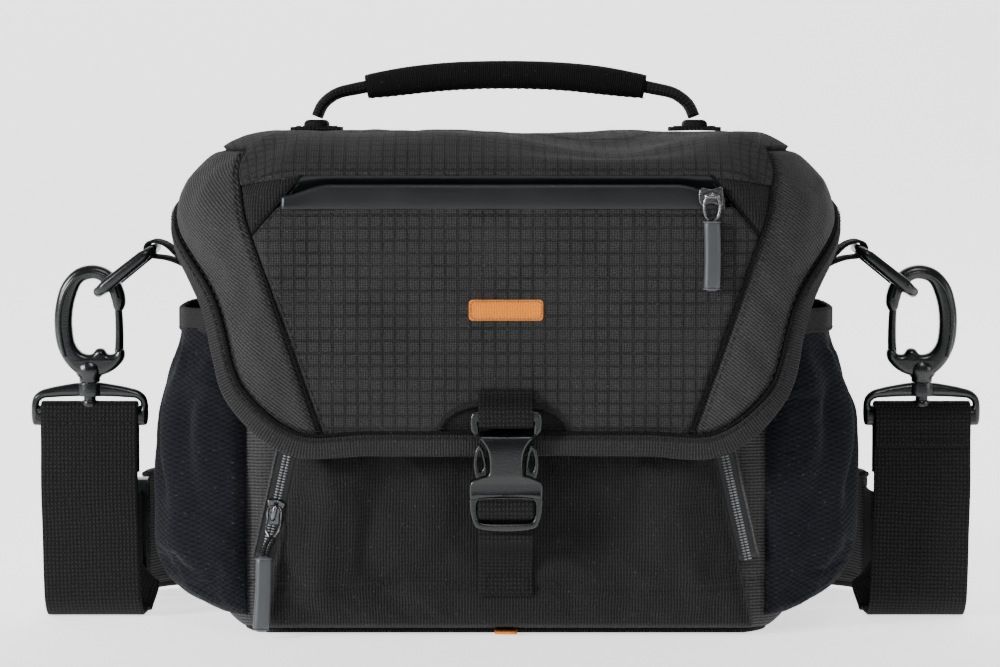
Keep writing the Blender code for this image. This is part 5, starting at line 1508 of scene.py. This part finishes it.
# ---------------------------------------------------------------- strap fittings
def make_ring(name, sign):
    """A faceted plastic ring, and the webbing tab that holds it."""
    inner = np.array([0.1590, STRAP_Y, 0.1680])
    outer = np.array([0.1835, STRAP_Y, 0.1485])
    step = unit(outer - inner)
    far = np.linalg.norm(outer - inner)
    half, corner = 0.0150, 0.0050
    line = []
    for side, end, start in ((1, 1, 0), (1, 0, 1), (-1, 0, 2), (-1, 1, 3)):
        for a in np.linspace(start * math.pi / 2, (start + 1) * math.pi / 2, 7):
            u = (far - corner if end else corner) + corner * math.cos(a)
            v = side * (half - corner) + corner * math.sin(a)
            line.append(inner + step * u + np.array([0, v, 0]))
    path = np.array(line) * (sign, 1, 1)
    lift = np.cross(step * (sign, 1, 1), (0, 1, 0))
    side_bar = 1 - ease(np.abs(np.abs(path[:, 0]) - 0.1712), 0.0070, 0.0110)
    thick = 1 + 0.20 * ease(np.abs(path[:, 0]), 0.168, 0.184) + 0.45 * side_bar
    section = circle(0.0022, 8) @ np.array([[math.cos(0.39), math.sin(0.39)],
                                            [-math.sin(0.39), math.cos(0.39)]])
    ring = sweep(f"ring_link_{name}", path, lift, section * (1.0, 0.95), closed=True,
                 scale=np.stack([0 * thick + 1, thick], axis=1))
    bevel = ring.modifiers.new("soft_edges", "BEVEL")
    bevel.width, bevel.segments, bevel.angle_limit = 0.0004, 2, math.radians(25)
    dress(ring, "black_plastic", f"ring_{name}_body", [f"ring_{name}"])

    tab = [(0.1327, 0.120), (0.1327, 0.137), (0.1348, 0.150), (0.1430, 0.1593), (0.1530, 0.1637)]
    turn = [(0.1590 + 0.0034 * math.sin(a), 0.1680 - 0.0034 * math.cos(a))
            for a in np.linspace(0.1, math.pi - 0.1, 6)]
    back = [(0.1540, 0.1702), (0.1478, 0.1648), (0.1420, 0.1608)]
    path = smooth_path([(sign * x, STRAP_Y, z) for x, z in (*tab, *turn, *back)], 4)
    out = np.cross(unit(np.gradient(path, axis=0)), (0.0, 1.0, 0.0))
    section = rounded(size_of(f"ring_tab_{name}").y, 0.0015, 12, 3)
    dress(sweep(f"ring_webbing_{name}", path, out, section), "webbing", "bag", [f"ring_tab_{name}"])


def make_hook(name, sign):
    """The snap hook with its swivel post, its gate, and the strap frame with an arched beam."""
    body = f"hook_{name}_body"
    outline = [(-0.0048, 0.1108), (-0.0098, 0.1150), (-0.0142, 0.1230), (-0.0157, 0.1330), (-0.0150, 0.1430),
               (-0.0118, 0.1525), (-0.0055, 0.1588), (0.0020, 0.1605), (0.0092, 0.1583), (0.0142, 0.1528),
               (0.0164, 0.1465), (0.0163, 0.1420), (0.0146, 0.1394), (0.0118, 0.1400), (0.0104, 0.1440),
               (0.0082, 0.1502), (0.0030, 0.1541), (-0.0024, 0.1530), (-0.0058, 0.1465), (-0.0074, 0.1390),
               (-0.0075, 0.1310), (-0.0060, 0.1240), (-0.0028, 0.1206), (0.0012, 0.1202), (0.0036, 0.1226),
               (0.0066, 0.1224), (0.0084, 0.1202), (0.0112, 0.1204), (0.0128, 0.1226), (0.0156, 0.1222),
               (0.0160, 0.1188), (0.0132, 0.1146), (0.0080, 0.1112)]
    outline = smooth_path([(-sign * x, z) for x, z in outline], 4, closed=True)
    centre = (sign * STRAP_X, STRAP_Y, 0.0)
    parts = [plate(f"hook_frame_{name}", outline, [], 0.0076, 0.0026, centre)]
    ridge = [(-0.0108, 0.1190), (-0.0124, 0.1260), (-0.0132, 0.1340), (-0.0126, 0.1420), (-0.0100, 0.1495),
             (-0.0050, 0.1550), (0.0020, 0.1570), (0.0080, 0.1550), (0.0115, 0.1505), (0.0132, 0.1455)]
    for depth in (-0.0034, 0.0034):
        line = [(sign * (STRAP_X - x), STRAP_Y + depth, z) for x, z in ridge]
        parts.append(wire(f"hook_rib_{name}", line, 0.0011, (0, -1, 0), flat=0.8))
    post = [(0.0046, 0.1074), (0.0048, 0.1082), (0.0048, 0.1092), (0.0060, 0.1106), (0.0066, 0.1124),
            (0.0062, 0.1150), (0.0048, 0.1168)]
    parts.append(turned(f"hook_post_{name}", post, centre[:2], (1.0, 0.80)))
    parts.append(turned(f"hook_stem_{name}", [(0.0028, 0.0985), (0.0028, 0.1080)], centre[:2]))
    head = [(0.0040, 0.0963), (0.0042, 0.0970), (0.0042, 0.0985), (0.0038, 0.0990)]
    parts.append(turned(f"hook_head_{name}", head, centre[:2]))
    dress(smooth_parts(joined(f"snap_hook_{name}", parts)), "black_plastic", body, [f"hook_{name}"])

    low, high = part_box(f"gate_{name}")
    x, z0, z1 = (low.x + high.x) / 2, low.z - 0.0006, high.z + 0.0024
    inward = -sign
    line = [(x + inward * 0.0002, STRAP_Y, z0), (x + inward * 0.0004, STRAP_Y, z0 + 0.006),
            (x + inward * 0.0002, STRAP_Y, z1 - 0.008), (x - inward * 0.0004, STRAP_Y, z1)]
    path = smooth_path(line, 8)
    taper = np.stack([np.linspace(1.05, 0.85, len(path)), np.linspace(1.0, 0.9, len(path))], axis=1)
    section = rounded(0.0040, 0.0052, 4, 5)
    gate = sweep(f"hook_gate_{name}", path, (0, -1, 0), section, scale=taper)
    dress(gate, "black_plastic", f"gate_{name}_body", [f"gate_{name}"])

    half = size_of(f"strap_frame_{name}").x / 2
    outline = [(half - 0.0034, 0.0876), (half - 0.0006, 0.0880), (half, 0.0895), (half, 0.0985),
               (half - 0.0010, 0.1010), (half - 0.0034, 0.1032), (0.0180, 0.1048), (0.0110, 0.1062),
               (0.0058, 0.1070)]
    outline = smooth_path(mirrored(outline), 4, closed=True)
    slot = [(0.0226, 0.0952), (0.0229, 0.0960), (0.0229, 0.0982), (0.0215, 0.0996), (0.0150, 0.1004),
            (0.0050, 0.1008)]
    slot = smooth_path(mirrored(slot), 4, closed=True)
    frame_parts = [plate(f"frame_plate_{name}", outline, [slot], 0.0052, 0.0022, centre)]
    frame_parts.append(turned(f"frame_boss_{name}", [(0.0056, 0.1010), (0.0060, 0.1030), (0.0056, 0.1070)],
                              centre[:2], (1.0, 0.8)))
    dress(smooth_parts(joined(f"strap_loop_{name}", frame_parts)), "black_plastic", f"frame_{name}_body",
          [f"strap_frame_{name}"])


def turned(name, profile, at, flat=(1.0, 1.0)):
    """A turned form with flat ends from (radius, height) pairs, pressed by flat along x and y."""
    points = np.array([np.column_stack([circle(radius, 24) * flat + at, np.full(24, z)])
                       for radius, z in profile])
    return closed_up(mesh_object(name, points.reshape(-1, 3), capped(len(profile), 24)))


STRAP_HALF = 0.022


def strap_route(sign):
    """The strap's middle line and the way its width lies, from the sewn end to the shoulder pad."""
    bar, over = 0.0036, 0.0980
    line = [(STRAP_X, STRAP_Y + bar, 0.0660, 0), (STRAP_X, STRAP_Y + bar, 0.0800, 0),
            (STRAP_X, STRAP_Y + bar, 0.0930, 0), (STRAP_X, STRAP_Y + bar * 0.75, 0.0968, 0),
            (STRAP_X, STRAP_Y, over, 0), (STRAP_X, STRAP_Y - bar * 0.75, 0.0968, 0),
            (STRAP_X, STRAP_Y - bar, 0.0930, 0), (STRAP_X, STRAP_Y - bar, 0.0780, 0),
            (STRAP_X, STRAP_Y - bar - 0.0008, 0.0600, 0), (0.1880, -0.0130, 0.0400, 0),
            (0.1875, -0.0140, 0.0200, 0), (0.1872, -0.0125, 0.0080, 0), (0.1870, -0.0060, 0.0019, 0),
            (0.1865, 0.0030, 0.0012, 0), (0.1860, 0.0140, 0.0013, 0)]
    for back in (0.022, 0.030, 0.038, 0.046, 0.054):
        turn = float(ease(back, 0.010, 0.056))
        place = float(ease(back, 0.010, 0.060))
        line.append((0.1862 - 0.0142 * place, back, 0.0012 + 0.0280 * math.sin(turn * math.pi / 2), turn))
    line += [(0.1720, 0.0620, 0.0292, 1), (0.1720, 0.0742, 0.0292, 1)]
    route = smooth_path(line, 8)
    path = route[:, :3] * (sign, 1, 1)
    turn = np.clip(route[:, 3], 0, 1) * math.pi / 2
    wide = np.stack([sign * np.cos(turn), 0 * turn, np.sin(turn)], axis=1)
    return path, wide


def make_strap(name, sign):
    """Strap webbing over the frame's bar, down to the ground and round to the pad."""
    path, wide = strap_route(sign)
    along = unit(np.gradient(path, axis=0))
    strap = sweep(f"strap_{name}", path, np.cross(wide, along), rounded(2 * STRAP_HALF, WEBBING, 25, 3))
    dress(strap, "webbing", "bag", [f"strap_web_{name}"])
    bar = [(sign * (STRAP_X - 0.0236), STRAP_Y, 0.0938), (sign * (STRAP_X + 0.0236), STRAP_Y, 0.0938)]
    dress(wire(f"strap_bar_{name}", bar, 0.0026, (0, 0, 1), each=10, flat=1.1), "black_plastic",
          f"frame_{name}_body")
    out_y = STRAP_Y - 0.0036
    if sign > 0:
        fold = [(sign * STRAP_X, out_y - 0.0004, 0.0955), (sign * STRAP_X, out_y - 0.0016, 0.0925),
                (sign * STRAP_X, out_y - 0.0018, 0.0850), (sign * STRAP_X, out_y - 0.0018, 0.0782)]
        path = smooth_path(fold, 6)
        end = sweep("strap_end_right", path, (0, -1, 0), rounded(2 * STRAP_HALF - 0.0006, WEBBING, 25, 3))
        dress(end, "webbing", "bag")
        out_y -= 0.0018
    rows = [np.array([(sign * STRAP_X + x, out_y - 0.0010, level) for x in np.linspace(-0.0195, 0.0195, 40)])
            for level in ((0.0805, 0.0835, 0.0905) if sign > 0 else (0.0890,))]
    made = [stitches(f"row_{index}", path, (0, -1, 0), 0.0026, 0.0010, 0.00026)
            for index, path in enumerate(rows)]
    dress(joined(f"strap_stitches_{name}", made), "thread", "bag")


def make_shoulder_pad():
    """The long quilted pad standing behind the bag, with bound edges."""
    half = [(0.1718, 0.0746), (0.1690, 0.0860), (0.1600, 0.0960), (0.1440, 0.1035), (0.1100, 0.1062),
            (0.0550, 0.1075), (0.0, 0.1080)]
    line = smooth_path([(x, y) for x, y in half] + [(-x, y) for x, y in reversed(half[:-1])], 12)
    line = resample(line, 0.0026)
    step = unit(np.gradient(line, axis=0))
    normal = np.stack([step[:, 1], -step[:, 0]], axis=1)
    at = lengths(line)
    low, high = 0.0012, 0.0580
    section = []
    for a in np.arange(48) * TAU / 48:
        c, s = math.cos(a), math.sin(a)
        section.append((math.copysign(abs(s) ** 0.75, s), math.copysign(abs(c) ** 0.22, c)))
    section = np.array(section)
    z = (low + high) / 2 + section[:, 1] * (high - low) / 2
    end = np.minimum(at, at[-1] - at)
    channel = np.exp(-(((at + 0.012) % 0.026 - 0.013) / 0.0022) ** 2)
    thin = (0.45 + 0.55 * ease(end, 0.0, 0.012)) * (1 - 0.38 * channel * ease(end, 0.02, 0.03))
    inner = 1 - 0.30 * np.exp(-((np.abs(section[:, 1]) - 0.72) / 0.06) ** 2)
    out = 0.0033 * section[:, 0] * inner
    points = np.empty((len(line), 48, 3))
    points[..., :2] = line[:, None] + normal[:, None] * (out[None, :, None] * thin[:, None, None])
    points[..., 2] = z
    cloth = np.dstack([np.repeat(at[:, None], 48, axis=1), np.broadcast_to(z, points.shape[:2]),
                       np.zeros(points.shape[:2])])
    pad = mesh_object("shoulder_cushion", points.reshape(-1, 3), capped(len(line), 48), cloth.reshape(-1, 3))
    closed_up(pad)
    settle(pad, np.repeat(channel, 48) * 0.9, pressure=0.8, cap=0.0009, frames=8)
    dress(pad, "side_cloth", "bag", ["shoulder_pad"])
    for edge, level in (("top", high - 0.0012), ("bottom", low + 0.0012)):
        path = np.column_stack([line, np.full(len(line), level)])
        out = np.full((len(line), 3), (0.0, 0.0, 1.0 if edge == "top" else -1.0))
        tape = sweep(f"shoulder_tape_{edge}", path, out, rounded(0.0058, 0.0036, 4, 4),
                     scale=0.75 + 0.25 * ease(end, 0, 0.012))
        dress(tape, "binding", "bag")

    half_y, half_z = size_of("strap_adjuster").y / 2, size_of("strap_adjuster").z / 2
    outline = smooth_path([(half_y, -half_z * 0.94), (half_y, half_z * 0.94), (half_y * 0.8, half_z),
                           (-half_y * 0.8, half_z), (-half_y, half_z * 0.94), (-half_y, -half_z * 0.94),
                           (-half_y * 0.8, -half_z), (half_y * 0.8, -half_z)], 4, closed=True)
    holes = []
    for at_y in (-0.0034, 0.0034):
        holes.append(smooth_path([(at_y - 0.0011, -0.0232), (at_y + 0.0011, -0.0232), (at_y + 0.0011, 0.0232),
                                  (at_y - 0.0011, 0.0232)], 2, closed=True))
    loop = plate("adjuster_loop", outline, holes, 0.0052, 0.0004, middle_of("strap_adjuster"), on="yz")
    dress(loop, "black_plastic", "bag", ["strap_adjuster"])


# ---------------------------------------------------------------- the hidden pieces
def dress_cad_nodes():
    """Better finishes for the CAD nodes whose shape is right."""
    for node, look in (("base_board", "board"), ("rain_cover", "rain_cloth")):
        obj = frame["nodes"][node]
        obj.data.materials.clear()
        obj.data.materials.append(LOOKS[look])


# ---------------------------------------------------------------- stage and lights
def make_stage():
    """A pale floor and backdrop that give off some light, a graded sky, and four soft lights."""
    g = Graph("floor", Specular_IOR_Level=0.2)
    place = g.object_place()
    parts = g.tree.nodes.new("ShaderNodeSeparateXYZ")
    g.feed(parts.inputs[0], place)
    lit = g.math("MINIMUM", g.math("MAXIMUM", g.math("MULTIPLY_ADD", parts.outputs[1], 2.2, 1.45), 0.06), 1.5)
    g.feed(g.shader.inputs["Emission Strength"], lit)
    g.shader.inputs["Emission Color"].default_value = (1.0, 1.0, 1.0, 1.0)
    g.finish(g.mix(g.noise(place, 3.0), (0.93, 0.93, 0.93, 1), (0.97, 0.97, 0.97, 1)), 0.9,
             g.noise(place, 300.0), 0.0001)
    x = np.array([-6.0, 6.0])
    profile = smooth_path([(-4.0, 0.0), (0.0, 0.0), (1.2, 0.0), (2.0, 0.15), (2.4, 0.8), (2.5, 4.0)], 8)
    points = np.array([[(xx, y, z) for xx in x] for y, z in profile])
    floor = mesh_object("floor", points.reshape(-1, 3), loft_faces(len(profile), 2))
    floor.data.materials.append(g.made)
    world = bpy.data.worlds.new("world")
    bpy.context.scene.world = world
    world.use_nodes = True
    tree = world.node_tree
    way = tree.nodes.new("ShaderNodeTexCoord")
    parts = tree.nodes.new("ShaderNodeSeparateXYZ")
    level = tree.nodes.new("ShaderNodeMapRange")
    level.interpolation_type = "SMOOTHSTEP"
    for socket, value in zip(level.inputs[1:5], (-0.7, 0.6, 0.10, 0.70)):
        socket.default_value = value
    tree.links.new(way.outputs["Generated"], parts.inputs[0])
    tree.links.new(parts.outputs[1], level.inputs[0])
    tree.links.new(level.outputs[0], tree.nodes["Background"].inputs[1])
    tree.nodes["Background"].inputs[0].default_value = (1.0, 1.0, 1.0, 1.0)
    for name, place, target, size, power in (
        ("key", (-1.9, -1.5, 0.80), (0, 0, 0.12), 0.7, 92.0),
        ("fill", (1.8, -1.3, 0.45), (0, 0, 0.12), 0.6, 9.0),
        ("strip", (0.2, -1.6, 1.5), (0, 0, 0.10), 0.5, 12.0),
        ("behind", (0.9, 1.5, 1.0), (0, 0, 0.12), 0.8, 6.0),
    ):
        light = bpy.data.lights.new(name, "AREA")
        light.size = size
        light.energy = power
        obj = bpy.data.objects.new(name, light)
        obj.location = place
        obj.rotation_euler = (Vector(target) - Vector(place)).to_track_quat("-Z", "Y").to_euler()
        bpy.context.scene.collection.objects.link(obj)


# ---------------------------------------------------------------- build
make_lid_front()
make_corner_patches()
make_wings()
make_crown()
make_lid_lining()
make_binding()
make_seam_threads()
make_lid_zip()
make_badge()
make_tub()
make_top_edge()
make_front_pocket()
make_front_zip()
make_side_pockets()
make_interior()
make_back()
make_handle()
make_sliders()
make_buckle()
for side_name, side_sign in (("left", -1), ("right", 1)):
    make_ring(side_name, side_sign)
    make_hook(side_name, side_sign)
    make_strap(side_name, side_sign)
make_shoulder_pad()
dress_cad_nodes()
make_stage()
